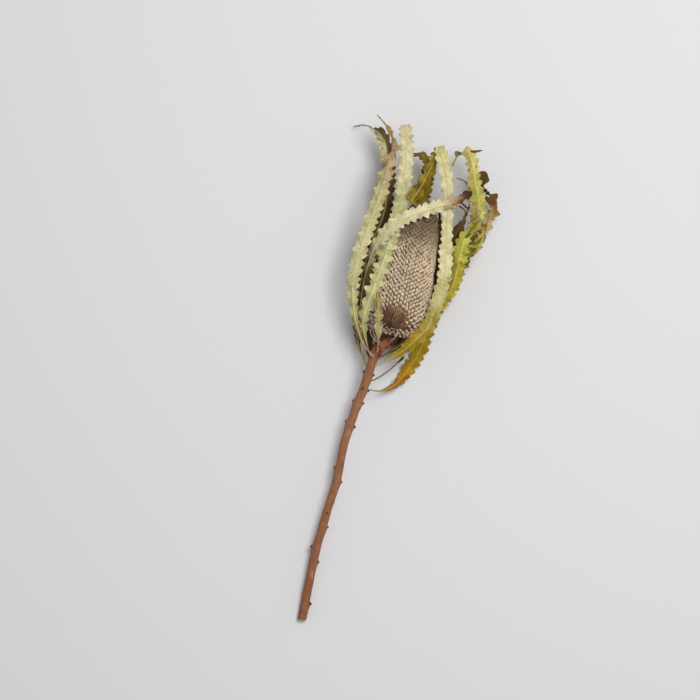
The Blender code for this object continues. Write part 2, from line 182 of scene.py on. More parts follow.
def carried_normals(path: np.ndarray, reference: int) -> tuple[np.ndarray, np.ndarray]:
    """Unit tangents and normals along a path, with no needless twist.

    Args:
        path: Rows of (u, v, z).
        reference: The row whose normal is as near to straight up as its tangent lets it be.

    Returns:
        The tangents and the normals.
    """
    tangents = unit(np.gradient(path, axis=0))
    normals = np.zeros_like(path)
    normals[reference] = unit(UP - tangents[reference] * (UP @ tangents[reference]))
    for order in (range(reference, len(path) - 1), range(reference, 0, -1)):
        step = 1 if order.step > 0 else -1
        for row in order:
            turned = Vector(tangents[row]).rotation_difference(Vector(tangents[row + step]))
            carried = np.array(turned @ Vector(normals[row]))
            carried -= tangents[row + step] * (carried @ tangents[row + step])
            normals[row + step] = unit(carried)
    return tangents, normals


def stem_radius(below_top: float) -> float:
    """The stem's radius, which swells a little towards the neck."""
    swell = max(0.0, 1 - below_top / NECK_LENGTH)
    return STEM_RADIUS + (NECK_RADIUS - STEM_RADIUS) * swell


def stem_point(below_top: float, side: float, lift: float) -> tuple[np.ndarray, np.ndarray]:
    """A point near the stem.

    Args:
        below_top: How far down the stem from its top.
        side: The way out of the stem, in degrees from straight up, positive to the right.
        lift: How far outside the bark.

    Returns:
        The point, and the way out from the stem's centreline there.
    """
    share = 1 - below_top / length_of(STEM_PATH)
    here, centre, ahead = smooth_path(STEM_PATH, (share - AIM_SHARE, share, share + AIM_SHARE))
    along = unit(ahead - here)
    up = unit(UP - along * along[2])
    right = np.cross(along, up)
    angle = math.radians(side)
    out = up * math.cos(angle) + right * math.sin(angle)
    return centre + out * (stem_radius(below_top) + lift), out


def grid_faces(rows: int, columns: int, closed: bool, first: int = 0) -> list[tuple[int, ...]]:
    """Quads over a grid of points laid out row by row.

    Args:
        rows: How many rows.
        columns: How many points in a row.
        closed: Whether each row is a ring.
        first: Index of the grid's first point.

    Returns:
        The faces.
    """
    faces = []
    for row in range(rows - 1):
        for column in range(columns if closed else columns - 1):
            after = (column + 1) % columns
            low, high = first + row * columns, first + (row + 1) * columns
            faces.append((low + column, low + after, high + after, high + column))
    return faces


class Shape:
    """Points, faces and surface notes gathered for one piece, in page millimetres."""

    def __init__(self) -> None:
        """Starts empty."""
        self.points: list[np.ndarray] = []
        self.faces: list[tuple[int, ...]] = []
        self.lay: list[np.ndarray] = []
        self.kind: list[np.ndarray] = []
        self.count = 0

    def add(self, points: np.ndarray, faces: list[tuple[int, ...]], lay: np.ndarray,
            kind: np.ndarray) -> None:
        """Adds a form.

        Args:
            points: Rows of (u, v, z).
            faces: Faces, counted from this form's own first point.
            lay: For each point, where it lies on the form's surface.
            kind: For each point, or once for all, what the finish needs to know of it.
        """
        self.points.append(points)
        self.faces += [tuple(corner + self.count for corner in face) for face in faces]
        self.lay.append(np.broadcast_to(lay, points.shape))
        self.kind.append(np.broadcast_to(kind, points.shape))
        self.count += len(points)

    def tube(self, path: np.ndarray, wide: np.ndarray, thick: np.ndarray, sides: int,
             kind: np.ndarray, twist: np.ndarray | float = 0.0) -> None:
        """Adds a closed tube of oval section, with a point at each end.

        Args:
            path: Rows of (u, v, z).
            wide: Half the width at each row.
            thick: Half the thickness at each row.
            sides: Points in a ring.
            kind: What the finish needs to know of it.
            twist: Turn of the section at each row, in radians.
        """
        tangents, normals = carried_normals(path, len(path) // 2)
        twist = np.broadcast_to(twist, len(path))[:, None]
        facing = normals * np.cos(twist) + np.cross(tangents, normals) * np.sin(twist)
        across = np.cross(tangents, facing)
        turn = np.arange(sides) / sides * 2 * math.pi
        rings = (path[:, None] + across[:, None] * np.cos(turn)[:, None] * wide[:, None, None]
                 + facing[:, None] * np.sin(turn)[:, None] * thick[:, None, None])
        points = np.vstack([rings.reshape(-1, 3), path[:1], path[-1:]])
        faces = grid_faces(len(path), sides, True)
        start, end, last = len(points) - 2, len(points) - 1, (len(path) - 1) * sides
        for corner in range(sides):
            after = (corner + 1) % sides
            faces += [(after, corner, start), (last + corner, last + after, end)]
        run = np.linspace(0, 1, len(path))
        lay = np.column_stack([
            np.append(np.tile(turn, len(path)), (0, 0)),
            np.append(np.repeat(run * len(path), sides), (0, len(path))),
            np.append(np.repeat(run, sides), (0, 1))])
        self.add(points, faces, lay, kind)

    def piece(self, name: str, material: bpy.types.Material, node: str, slot: str) -> bpy.types.Object:
        """Makes the piece, and hides the solid that it replaces.

        Args:
            name: Name of the piece.
            material: Its finish.
            node: The solid that it replaces.
            slot: The record's slot for its finish; not used.

        Returns:
            The object, which rides on the body.
        """
        points = np.vstack(self.points)
        points[:, 2] = np.maximum(points[:, 2], LOWEST)
        mesh = bpy.data.meshes.new(name)
        mesh.from_pydata(on_floor(points).tolist(), [], self.faces)
        bm = bmesh.new()
        bm.from_mesh(mesh)
        bmesh.ops.recalc_face_normals(bm, faces=bm.faces)
        bm.to_mesh(mesh)
        bm.free()
        for note, rows in (("lay", self.lay), ("kind", self.kind)):
            layer = mesh.attributes.new(note, "FLOAT_VECTOR", "POINT")
            layer.data.foreach_set("vector", np.vstack(rows).astype(np.float32).ravel())
        mesh.shade_smooth()
        mesh.set_sharp_from_angle(angle=SHARP_ANGLE)
        mesh.materials.append(material)
        thing = bpy.data.objects.new(name, mesh)
        bpy.context.scene.collection.objects.link(thing)
        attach(thing, BODY)
        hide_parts(node)
        return thing


class Amount:
    """A number that changes over a surface: one output of a material's nodes."""

    def __init__(self, nodes: "Nodes", output: bpy.types.NodeSocket) -> None:
        """Holds the output.

        Args:
            nodes: The nodes that it is among.
            output: The socket that gives the number.
        """
        self.nodes = nodes
        self.output = output

    def joined(self, operation: str, *values: "Amount | float") -> "Amount":
        """What a Math node makes of these values."""
        node = self.nodes.add("ShaderNodeMath", {"operation": operation}, dict(enumerate(values)))
        return Amount(self.nodes, node.outputs[0])

    def __add__(self, other: "Amount | float") -> "Amount":
        """The sum."""
        return self.joined("ADD", self, other)

    def __radd__(self, other: float) -> "Amount":
        """The sum, with the number first."""
        return self.joined("ADD", other, self)

    def __sub__(self, other: "Amount | float") -> "Amount":
        """The difference."""
        return self.joined("SUBTRACT", self, other)

    def __rsub__(self, other: float) -> "Amount":
        """The difference, with the number first."""
        return self.joined("SUBTRACT", other, self)

    def __mul__(self, other: "Amount | float") -> "Amount":
        """The product."""
        return self.joined("MULTIPLY", self, other)

    def __rmul__(self, other: float) -> "Amount":
        """The product, with the number first."""
        return self.joined("MULTIPLY", other, self)

    def __abs__(self) -> "Amount":
        """The size, without its sign."""
        return self.joined("ABSOLUTE", self)

    def wave(self) -> "Amount":
        """The sine."""
        return self.joined("SINE", self)

    def step(self, low: float, high: float) -> "Amount":
        """A smooth step from 0 to 1.

        Args:
            low: Where it leaves 0.
            high: Where it reaches 1, which may be below low.

        Returns:
            The step.
        """
        flip = low > high
        node = self.nodes.add(
            "ShaderNodeMapRange", {"interpolation_type": "SMOOTHSTEP"},
            {"Value": self, "From Min": min(low, high), "From Max": max(low, high),
             "To Min": float(flip), "To Max": float(not flip)})
        return Amount(self.nodes, node.outputs[0])


class Nodes:
    """The nodes of one finish, made from expressions."""

    def __init__(self, name: str) -> None:
        """Makes the material.

        Args:
            name: Its name.
        """
        self.material = bpy.data.materials.new(name)
        self.material.use_nodes = True
        self.tree = self.material.node_tree
        self.shader = self.tree.nodes["Principled BSDF"]

    def add(self, kind: str, settings: dict[str, object] | None = None,
            sockets: dict[str | int, object] | None = None) -> bpy.types.Node:
        """Makes a node.

        Args:
            kind: Its type.
            settings: Its settings, set before its sockets. The stops are a ramp's.
            sockets: Values or links, by a socket's name or number.

        Returns:
            The node.
        """
        node = self.tree.nodes.new(kind)
        for name, value in (settings or {}).items():
            if name == "stops":
                self.set_stops(node.color_ramp, value)
            else:
                setattr(node, name, value)
        self.fill(node, sockets or {})
        return node

    def fill(self, node: bpy.types.Node, sockets: dict[str | int, object]) -> None:
        """Gives a node's sockets their values or links.

        Args:
            node: The node.
            sockets: Values or links, by a socket's name or number.
        """
        for name, value in sockets.items():
            if isinstance(value, Amount):
                value = value.output
            if isinstance(value, bpy.types.NodeSocket):
                self.tree.links.new(value, node.inputs[name])
            else:
                node.inputs[name].default_value = value

    @staticmethod
    def set_stops(ramp: bpy.types.ColorRamp, stops: Stops) -> None:
        """Gives a ramp its stops.

        Args:
            ramp: The ramp.
            stops: Rows of (place, colour).
        """
        while len(ramp.elements) < len(stops):
            ramp.elements.new(1.0)
        for element, (place, colour) in zip(ramp.elements, stops):
            element.position = place
            element.color = colour

    def note(self, name: str) -> tuple[Amount, Amount, Amount]:
        """The three numbers of a surface note.

        Args:
            name: Name of the note.

        Returns:
            The numbers.
        """
        source = self.add("ShaderNodeAttribute", {"attribute_name": name})
        parts = self.add("ShaderNodeSeparateXYZ", None, {0: source.outputs["Vector"]})
        return tuple(Amount(self, output) for output in parts.outputs)

    def where(self, note: str, scale: tuple[float, float, float]) -> bpy.types.NodeSocket:
        """A surface note as a place for a texture.

        Args:
            note: Name of the note.
            scale: How much it is stretched along each axis.

        Returns:
            The place.
        """
        source = self.add("ShaderNodeAttribute", {"attribute_name": note})
        node = self.add("ShaderNodeVectorMath", {"operation": "MULTIPLY"},
                        {0: source.outputs["Vector"], 1: scale})
        return node.outputs[0]

    def in_mm(self) -> bpy.types.NodeSocket:
        """The place on the piece.

        Returns:
            The place, in millimetres.
        """
        source = self.add("ShaderNodeTexCoord")
        node = self.add("ShaderNodeVectorMath", {"operation": "SCALE"},
                        {0: source.outputs["Object"], "Scale": 1 / MM})
        return node.outputs[0]

    def noise(self, place: bpy.types.NodeSocket, scale: float, detail: float = 2.0) -> Amount:
        """Soft noise about 0.5.

        Args:
            place: Where on the surface.
            scale: How fine it is.
            detail: How many finer layers it has.

        Returns:
            The noise.
        """
        node = self.add("ShaderNodeTexNoise", None,
                        {"Vector": place, "Scale": scale, "Detail": detail})
        return Amount(self, node.outputs[0])

    def ramp(self, amount: Amount, stops: Stops) -> bpy.types.NodeSocket:
        """A colour that follows an amount."""
        return self.add("ShaderNodeValToRGB", {"stops": stops}, {0: amount}).outputs[0]

    def mix(self, amount: Amount | float, first: object, second: object,
            blend: str = "MIX") -> bpy.types.NodeSocket:
        """A mix of two colours.

        Args:
            amount: How much of the second.
            first: The first colour, or its socket.
            second: The second colour, or its socket.
            blend: How they mix.

        Returns:
            The mixed colour's socket.
        """
        node = self.add("ShaderNodeMix", {"data_type": "RGBA", "blend_type": blend},
                        {0: amount, 6: first, 7: second})
        return node.outputs[2]

    def bump(self, height: Amount, distance: float) -> bpy.types.NodeSocket:
        """A relief of this height in millimetres, as a normal."""
        node = self.add("ShaderNodeBump", None, {"Height": height, "Distance": distance * MM})
        return node.outputs[0]

    def finish(self, **sockets: object) -> bpy.types.Material:
        """Sets the shader's sockets, named with _ for spaces, and gives the material."""
        self.fill(self.shader, {name.replace("_", " "): value for name, value in sockets.items()})
        return self.material


@dataclass(frozen=True)
class LeafSkin:
    """The finish of a leaf: stops from its root to its tip for each face, midrib, stains, painted
    highlights and a painted shaded half.
    """

    outer: Stops
    inner: Stops
    midrib: Colour = tint(224, 212, 156)
    stain: Colour = tint(92, 62, 26)
    stained: float = 0.18
    edge: Colour = tint(150, 124, 62)
    # Painted highlight: pale patches on the outer face, placed by noise, that stand for light catching
    # the crimped blade.
    painted_highlight: Colour = tint(216, 220, 192)
    painted_highlight_amount: float = 0.3
    painted_highlight_from: float = 0.12
    # Painted shade: a darker colour laid over one half of the blade, across the midrib, for that half
    # lying in shade.
    shaded: Colour = tint(110, 96, 30)
    shaded_half: float = 0.0
    shaded_side: float = 1.0
    rough: float = 0.72
    relief: float = 0.22
    vein_pitch: float = 2.9
    vein_slant: float = 1.3
    rib_half: float = 0.6
    rib_from: tuple[float, float] = (7.0, 17.0)
    rib_to: float = 1.1
    rib_again: float = 2.0
    rib_shown: float = 0.62
    stain_shown: float = 0.8
    edge_shown: float = 0.65
    broad_size: float = 0.14
    fine_size: float = 1.1
    mottle_size: float = 0.42

    def paint(self, name: str) -> bpy.types.Material:
        """Makes the material.

        Args:
            name: Its name.

        Returns:
            The material.
        """
        nodes = Nodes(name)
        across, along, side = nodes.note("lay")
        share, rim, lobe = nodes.note("kind")
        place = nodes.where("lay", (1.0, 0.6, 9.0))
        broad = nodes.noise(place, self.broad_size, 3.0)
        fine = nodes.noise(place, self.fine_size, 4.0)
        mottle = nodes.noise(nodes.where("lay", (1.0, 1.0, 9.0)), self.mottle_size, 3.0)
        outside = side.step(0.35, 0.65)
        vein = (along * (2 * math.pi / self.vein_pitch) - abs(across) * self.vein_slant).wave()
        vein = vein.step(0.55, 1.0) * abs(across).step(0.4, 0.9)
        shown = share.step(self.rib_to + 0.06, self.rib_to)
        shown = shown + share.step(self.rib_again, self.rib_again + 0.03)
        rib = abs(across).step(self.rib_half, 0.25) * shown * along.step(*self.rib_from)
        sage = nodes.ramp(share + (broad - 0.5) * 0.2, self.outer)
        olive = nodes.ramp(share + (broad - 0.5) * 0.3, self.inner)
        colour = nodes.mix(outside, olive, sage)
        # Painted shade over one half of the blade, on the side that shaded_side picks.
        painted_half_shade = (across * self.shaded_side).step(-0.2, 0.2) * self.shaded_half
        colour = nodes.mix(painted_half_shade, colour, self.shaded)
        light = (fine - 0.5) * 0.7 + (broad - 0.5) * 0.5 + vein * 0.08 + 0.95 + (lobe - 0.5) * 0.2
        light = light + (mottle - 0.5) * 0.7
        colour = nodes.mix(1.0, colour, self.grey(nodes, light), "MULTIPLY")
        # Painted highlight: pale patches mixed over the outer face by noise, away from the root and
        # the tip.
        painted_highlight_amount = share.step(self.painted_highlight_from, self.painted_highlight_from + 0.1) * share.step(0.94, 0.84)
        painted_highlight_amount = mottle.step(0.44, 0.74) * painted_highlight_amount * self.painted_highlight_amount * outside
        colour = nodes.mix(painted_highlight_amount, colour, self.painted_highlight)
        worn = (broad * 1.2 + fine * 0.5 + share * 0.16 + rim * 0.1).step(
            1.32 - self.stained, 1.5 - self.stained)
        colour = nodes.mix(worn * self.stain_shown, colour, self.stain)
        edged = (rim + fine * 0.12).step(0.97, 1.08)
        colour = nodes.mix(edged * self.edge_shown, colour, self.edge)
        colour = nodes.mix(rib * self.rib_shown, colour, self.midrib)
        height = vein * 0.5 + fine * 0.35 + rib * 0.6
        return nodes.finish(
            Base_Color=colour, Roughness=(fine * 0.2 + (self.rough - 0.1)),
            Normal=nodes.bump(height, self.relief), Sheen_Weight=0.05, Specular_IOR_Level=0.22)

    @staticmethod
    def grey(nodes: Nodes, light: Amount) -> bpy.types.NodeSocket:
        """An amount of light as a grey, for tinting a colour."""
        node = nodes.add("ShaderNodeCombineColor", None, {0: light, 1: light, 2: light})
        return node.outputs[0]


@dataclass(frozen=True)
class BarkFinish:
    """The reddish bark, with its scars, the bracts at the neck and the cut wood of the foot."""

    foot: Colour = tint(142, 88, 54)
    middle: Colour = tint(156, 104, 70)
    neck: Colour = tint(148, 96, 62)
    light: Colour = tint(188, 138, 98)
    groove: Colour = tint(86, 52, 36)
    scar: Colour = tint(74, 46, 32)
    bract: Colour = tint(176, 112, 66)
    bract_tip: Colour = tint(118, 64, 40)
    bract_edge: Colour = tint(60, 30, 22)
    wood: Colour = tint(206, 176, 132)
    pith: Colour = tint(120, 84, 56)
    streaks: tuple[float, float, float] = (4.2, 0.1, 0.0)
    grain_size: float = 1.3
    blotch_size: float = 0.16
    relief: float = 0.3
    grooved: float = 0.7
    speckled: float = 0.5
    lit: float = 0.5
    ring_turns: float = 44.0
    ringed: float = 0.35
    pith_to: tuple[float, float] = (0.22, 0.12)

    def paint(self, name: str) -> bpy.types.Material:
        """Makes the material.

        Args:
            name: Its name.

        Returns:
            The material.
        """
        nodes = Nodes(name)
        _, _, share = nodes.note("lay")
        scar, bract, cut = nodes.note("kind")
        streak = nodes.noise(nodes.where("lay", self.streaks), 1.0, 5.0)
        grain = nodes.noise(nodes.in_mm(), self.grain_size, 4.0)
        blotch = nodes.noise(nodes.in_mm(), self.blotch_size, 3.0)
        colour = nodes.ramp(share + (blotch - 0.5) * 0.2, (
            (0.0, self.foot), (0.72, self.middle), (0.9, self.neck), (1.0, self.neck)))
        colour = nodes.mix(streak.step(0.48, 0.7) * self.grooved, colour, self.groove)
        colour = nodes.mix(grain.step(0.6, 0.78) * self.speckled, colour, self.groove)
        lit = blotch.step(0.48, 0.7) * streak.step(0.6, 0.4) * self.lit
        colour = nodes.mix(lit, colour, self.light)
        colour = nodes.mix(scar.step(0.3, 0.6), colour, self.scar)
        # Bracts darken with their tone; the darkest, nearest the spike, are partly their own dark
        # red-brown and partly painted shade under the spike.
        scale = nodes.ramp(
            scar * -0.8 + share * 0.3 + (grain - 0.5) * 0.5,
            ((0.1, self.bract), (0.5, self.bract_tip), (0.9, self.bract_edge)))
        colour = nodes.mix(bract, colour, scale)
        rings = (share * self.ring_turns).wave() * 0.5 + 0.5
        wood = nodes.mix(rings * self.ringed, self.wood, self.pith)
        wood = nodes.mix(share.step(*self.pith_to), wood, self.pith)
        colour = nodes.mix(cut, colour, wood)
        height = streak * 0.7 + grain * 0.4
        return nodes.finish(
            Base_Color=colour, Roughness=0.62 + streak * 0.25,
            Normal=nodes.bump(height, self.relief))


@dataclass(frozen=True)
class FloretFinish:
    """The felted florets, light at their knobs and brown between them, the brown partly their own and
    partly painted shade.
    """

    knob: Colour = tint(222, 204, 176)
    neck: Colour = tint(204, 180, 148)
    # Colour of the floret bases and the core: partly their own brown, partly painted shade deep
    # between the florets.
    gap: Colour = tint(140, 106, 74)
    foot_shade: Colour = tint(140, 102, 76)
    # Darker brown towards the apex: partly the spike's own brown, partly painted shadow of the
    # crossing leaf.
    crown: Colour = tint(92, 66, 24)
    felt_size: float = 2.4
    patch_size: float = 0.09
    relief: float = 0.15
    crown_over: tuple[float, float] = (0.52, 0.82)
    crown_shown: float = 0.85
    foot_over: tuple[float, float] = (0.07, 0.0)
    foot_shown: float = 0.75

    def paint(self, name: str) -> bpy.types.Material:
        """Makes the material.

        Args:
            name: Its name.

        Returns:
            The material.
        """
        nodes = Nodes(name)
        _, _, tip = nodes.note("lay")
        rise, tone, _ = nodes.note("kind")
        felt = nodes.noise(nodes.in_mm(), self.felt_size, 3.0)
        patch = nodes.noise(nodes.in_mm(), self.patch_size, 2.0)
        # Florets run from brown at the base to cream at the knob: partly their own colours, partly
        # painted shade low between them and painted light on the knobs.
        colour = nodes.ramp(tip + (felt - 0.5) * 0.25, (
            (0.0, self.gap), (0.3, self.gap), (0.55, self.neck), (0.85, self.knob)))
        light = tone * 0.34 + felt * 0.3 + 0.66
        colour = nodes.mix(1.0, colour, LeafSkin.grey(nodes, light), "MULTIPLY")
        # Crown darkening: partly the spike's own brown, partly painted shadow of the crossing leaf
        # over the apex.
        brown = (rise + (patch - 0.5) * 0.25).step(*self.crown_over)
        colour = nodes.mix(brown * self.crown_shown, colour, self.crown)
        low = (rise + (patch - 0.5) * 0.04).step(*self.foot_over)
        colour = nodes.mix(low * self.foot_shown, colour, self.foot_shade)
        colour = nodes.mix(patch.step(0.55, 0.7) * 0.25, colour, self.neck)
        return nodes.finish(
            Base_Color=colour, Roughness=0.82 + felt * 0.12,
            Normal=nodes.bump(felt, self.relief), Sheen_Weight=0.3, Specular_IOR_Level=0.25)


@dataclass(frozen=True)
class WitheredFinish:
    """The dry flower strands, red-brown, with a few papery cream ones."""

    dark: Colour = tint(70, 40, 27)
    brown: Colour = tint(116, 76, 46)
    tan: Colour = tint(172, 132, 88)
    cream: Colour = tint(218, 204, 180)
    grain_size: float = 1.6
    relief: float = 0.2

    def paint(self, name: str) -> bpy.types.Material:
        """Makes the material.

        Args:
            name: Its name.

        Returns:
            The material.
        """
        nodes = Nodes(name)
        _, _, tip = nodes.note("lay")
        papery, tone, _ = nodes.note("kind")
        grain = nodes.noise(nodes.in_mm(), self.grain_size, 4.0)
        colour = nodes.ramp(tone * 0.7 + tip * 0.2 + (grain - 0.5) * 0.5, (
            (0.1, self.dark), (0.55, self.brown), (0.95, self.tan)))
        pale = nodes.mix(grain.step(0.5, 0.75), self.cream, self.tan)
        colour = nodes.mix(papery, colour, pale)
        return nodes.finish(
            Base_Color=colour, Roughness=0.7 + grain * 0.2, Normal=nodes.bump(grain, self.relief))


@dataclass(frozen=True)
class StalkFinish:
    """The bare stalk, grey-green and dark where its blade broke off."""

    skin: Colour = tint(126, 112, 78)
    streak: Colour = tint(92, 78, 50)
    end: Colour = tint(58, 38, 24)
    end_over: tuple[float, float] = (0.8, 0.9)
    grain_size: float = 1.2
    relief: float = 0.2

    def paint(self, name: str) -> bpy.types.Material:
        """Makes the material.

        Args:
            name: Its name.

        Returns:
            The material.
        """
        nodes = Nodes(name)
        _, _, share = nodes.note("lay")
        grain = nodes.noise(nodes.in_mm(), self.grain_size, 4.0)
        colour = nodes.mix(grain.step(0.45, 0.65), self.skin, self.streak)
        colour = nodes.mix((share + (grain - 0.5) * 0.1).step(*self.end_over), colour, self.end)
        return nodes.finish(
            Base_Color=colour, Roughness=0.65 + grain * 0.2, Normal=nodes.bump(grain, self.relief))


@dataclass(frozen=True)
class FloorFinish:
    """A pale matt studio floor."""

    tone: Colour = tint(228, 228, 230)
    shade: Colour = tint(222, 223, 226)
    tooth_size: float = 0.8
    relief: float = 0.05

    def paint(self, name: str) -> bpy.types.Material:
        """Makes the material.

        Args:
            name: Its name.

        Returns:
            The material.
        """
        nodes = Nodes(name)
        tooth = nodes.noise(nodes.in_mm(), self.tooth_size, 3.0)
        colour = nodes.mix(tooth, self.tone, self.shade)
        return nodes.finish(
            Base_Color=colour, Roughness=0.85 + tooth * 0.1, Normal=nodes.bump(tooth, self.relief),
            Specular_IOR_Level=0.2)


def even(colour: Colour) -> Stops:
    """Stops of one colour all along."""
    return ((0.0, colour), (1.0, colour))


CREAM_STALK = tint(200, 176, 138)
BROWN_STALK = tint(150, 118, 78)
GOLD = tint(150, 128, 30)

SKINS = {
    "leaf_left": LeafSkin(
        outer=((0.0, BROWN_STALK), (0.08, tint(122, 102, 56)), (0.16, tint(150, 134, 78)),
               (0.26, tint(186, 180, 126)), (0.45, tint(202, 196, 144)), (0.6, tint(192, 185, 132)),
               (0.74, tint(190, 172, 122)), (0.82, tint(192, 160, 110)), (1.0, tint(150, 122, 78))),
        inner=even(tint(112, 92, 36)), stained=0.1, painted_highlight_from=0.22, rib_to=0.64),
    "leaf_tall": LeafSkin(
        outer=((0.0, BROWN_STALK), (0.12, tint(176, 166, 102)), (0.25, tint(206, 202, 140)),
               (0.55, tint(204, 200, 141)), (0.7, tint(196, 189, 133)), (0.86, tint(222, 213, 168)),
               (0.97, tint(212, 198, 156)), (1.0, tint(200, 182, 138))),
        inner=even(tint(120, 100, 38)), stained=0.08, rib_to=0.85),
    "leaf_crossing": LeafSkin(
        outer=((0.0, CREAM_STALK), (0.14, tint(112, 88, 48)), (0.34, tint(88, 62, 28)),
               (0.42, tint(122, 102, 56)), (0.5, tint(198, 194, 144)),
               (0.78, tint(222, 214, 174)), (0.87, tint(212, 196, 150)), (0.91, tint(178, 150, 108)),
               (0.95, tint(92, 62, 34)), (0.98, tint(66, 42, 24))),
        inner=even(tint(120, 104, 44)), stained=0.05, rib_to=0.88, painted_highlight_from=0.42),
    "leaf_short": LeafSkin(
        outer=((0.0, tint(170, 140, 84)), (0.4, tint(196, 186, 130)), (1.0, tint(150, 128, 72))),
        inner=even(tint(120, 100, 48)), midrib=tint(206, 184, 116), stained=0.2),
    "leaf_folded": LeafSkin(
        outer=((0.0, CREAM_STALK), (0.07, tint(170, 148, 50)), (0.11, tint(162, 140, 18)),
               (0.19, tint(156, 132, 16)), (0.25, tint(168, 150, 80)), (0.33, tint(198, 189, 132)),
               (0.42, tint(214, 206, 158)), (0.7, tint(214, 206, 158)), (0.85, tint(190, 176, 96)),
               (1.0, tint(150, 132, 40))),
        inner=((0.0, GOLD), (0.7, tint(150, 136, 40)), (0.765, tint(110, 84, 30)),
               (0.79, tint(188, 164, 84)), (0.84, tint(178, 154, 44)), (0.9, tint(118, 96, 10)),
               (0.96, tint(100, 80, 4)), (1.0, tint(150, 126, 14))),
        midrib=tint(214, 196, 132), stained=0.12, rib_to=0.76, rib_again=0.77, painted_highlight_amount=0.1),
    "leaf_right": LeafSkin(
        outer=even(tint(176, 166, 96)),
        inner=((0.0, tint(96, 74, 34)), (0.12, tint(92, 70, 26)), (0.24, tint(150, 134, 34)),
               (0.38, tint(186, 176, 52)), (0.45, tint(176, 166, 50)), (0.49, tint(128, 116, 40)),
               (0.53, tint(192, 188, 76)), (0.62, tint(202, 200, 98)), (0.8, tint(202, 194, 104)),
               (0.9, tint(210, 194, 120)), (1.0, tint(196, 174, 110))),
        midrib=tint(224, 214, 116), shaded_half=0.4, stained=0.14),
    "leaf_outer": LeafSkin(
        outer=((0.0, tint(168, 150, 84)), (0.6, tint(172, 156, 96)), (0.78, tint(205, 182, 124)),
               (0.83, tint(150, 112, 50)), (0.88, tint(92, 62, 16)), (1.0, tint(94, 76, 24))),
        inner=((0.0, tint(150, 136, 108)), (0.08, tint(146, 116, 62)), (0.13, tint(146, 92, 10)),
               (0.2, tint(170, 134, 10)), (0.26, tint(156, 128, 14)), (0.5, tint(160, 144, 44)),
               (0.68, tint(140, 118, 54)), (0.8, tint(110, 84, 30)), (1.0, tint(94, 76, 24))),
        midrib=tint(208, 172, 82), stain=tint(120, 66, 14), stained=0.16, rib_to=0.74, painted_highlight_amount=0.0),
    "leaf_behind_spike": LeafSkin(
        outer=even(tint(104, 78, 34)),
        # Dark stops near the foot: partly the leaf's own brown, partly painted shade by the neck under
        # the spike.
        inner=((0.0, tint(116, 98, 70)), (0.12, tint(84, 68, 42)), (0.6, tint(74, 52, 22)),
               (1.0, tint(92, 68, 30))), midrib=tint(120, 96, 48), stained=0.3),
    "leaf_back_left": LeafSkin(
        outer=even(tint(168, 160, 104)),
        # Dark inner stops from 0.2 to 0.6: partly the leaf's own brown, partly painted shade for the
        # strip in the hollow left of the neck.
        inner=((0.0, CREAM_STALK), (0.2, tint(96, 78, 36)), (0.36, tint(80, 60, 26)),
               (0.6, tint(110, 92, 42)), (0.75, tint(196, 190, 134)), (0.85, tint(200, 188, 140)),
               (0.9, tint(176, 158, 96)), (0.98, tint(150, 134, 80)), (1.0, tint(60, 46, 30))),
        stained=0.12, shaded=tint(92, 66, 28), shaded_half=0.85, shaded_side=-1.0),
    "leaf_under": LeafSkin(
        outer=even(tint(128, 106, 30)),
        inner=((0.0, CREAM_STALK), (0.3, tint(104, 88, 30)), (0.7, tint(150, 130, 30)),
               (0.85, tint(156, 134, 34)), (1.0, tint(92, 66, 24))),
        midrib=tint(150, 128, 50), stained=0.2),
    "leaf_back_right": LeafSkin(
        outer=even(tint(120, 98, 44)),
        # Dark stops: partly the leaf's own brown, partly painted shade by the neck and in the gap
        # beside the spike.
        inner=((0.0, tint(120, 108, 84)), (0.15, tint(104, 94, 68)), (0.4, tint(84, 64, 30)),
               (0.7, tint(84, 62, 28)), (1.0, tint(160, 138, 80))),
        midrib=tint(120, 98, 54), stained=0.25),
}


@dataclass(frozen=True)
class Tatter:
    """A torn, curled strip of a blade.

    A row of path is (u, v, z, twist in degrees). Its colour is that of one face of the leaf, at one
    share of the leaf's length.
    """

    share: float
    half: float
    face: Face
    path: Sequence[Sequence[float]]
    half_thick: float = 0.22
    ragged: float = 0.1
    most_ragged: float = 0.3
    rag_turns: float = 31.0
    blunt: float = 0.6
    rim: float = 0.6
    tone: float = 0.5
    rings: int = 40
    sides: int = 10

    def add(self, shape: Shape) -> None:
        """Adds the strip.

        Args:
            shape: The leaf's shape.
        """
        rows = smooth_path(self.path, self.rings)
        run = np.linspace(0, 1, self.rings)
        deep = min(self.most_ragged, self.ragged * self.half)
        ragged = 1 + deep * np.sin(run * self.rag_turns + self.share * 40)
        wide = self.half * np.sin(math.pi * (run * 0.86 + 0.12)) ** self.blunt * ragged
        kind = np.array([self.share, self.rim, self.tone])
        shape.tube(rows[:, :3], wide, np.full(self.rings, self.half_thick), self.sides, kind,
                   np.radians(rows[:, 3]))
        turn, _, along = shape.lay[-1].T
        shape.lay[-1] = np.column_stack([
            2.0 + np.cos(turn), 20.0 + along * 20, np.full(len(turn), self.face.value)])


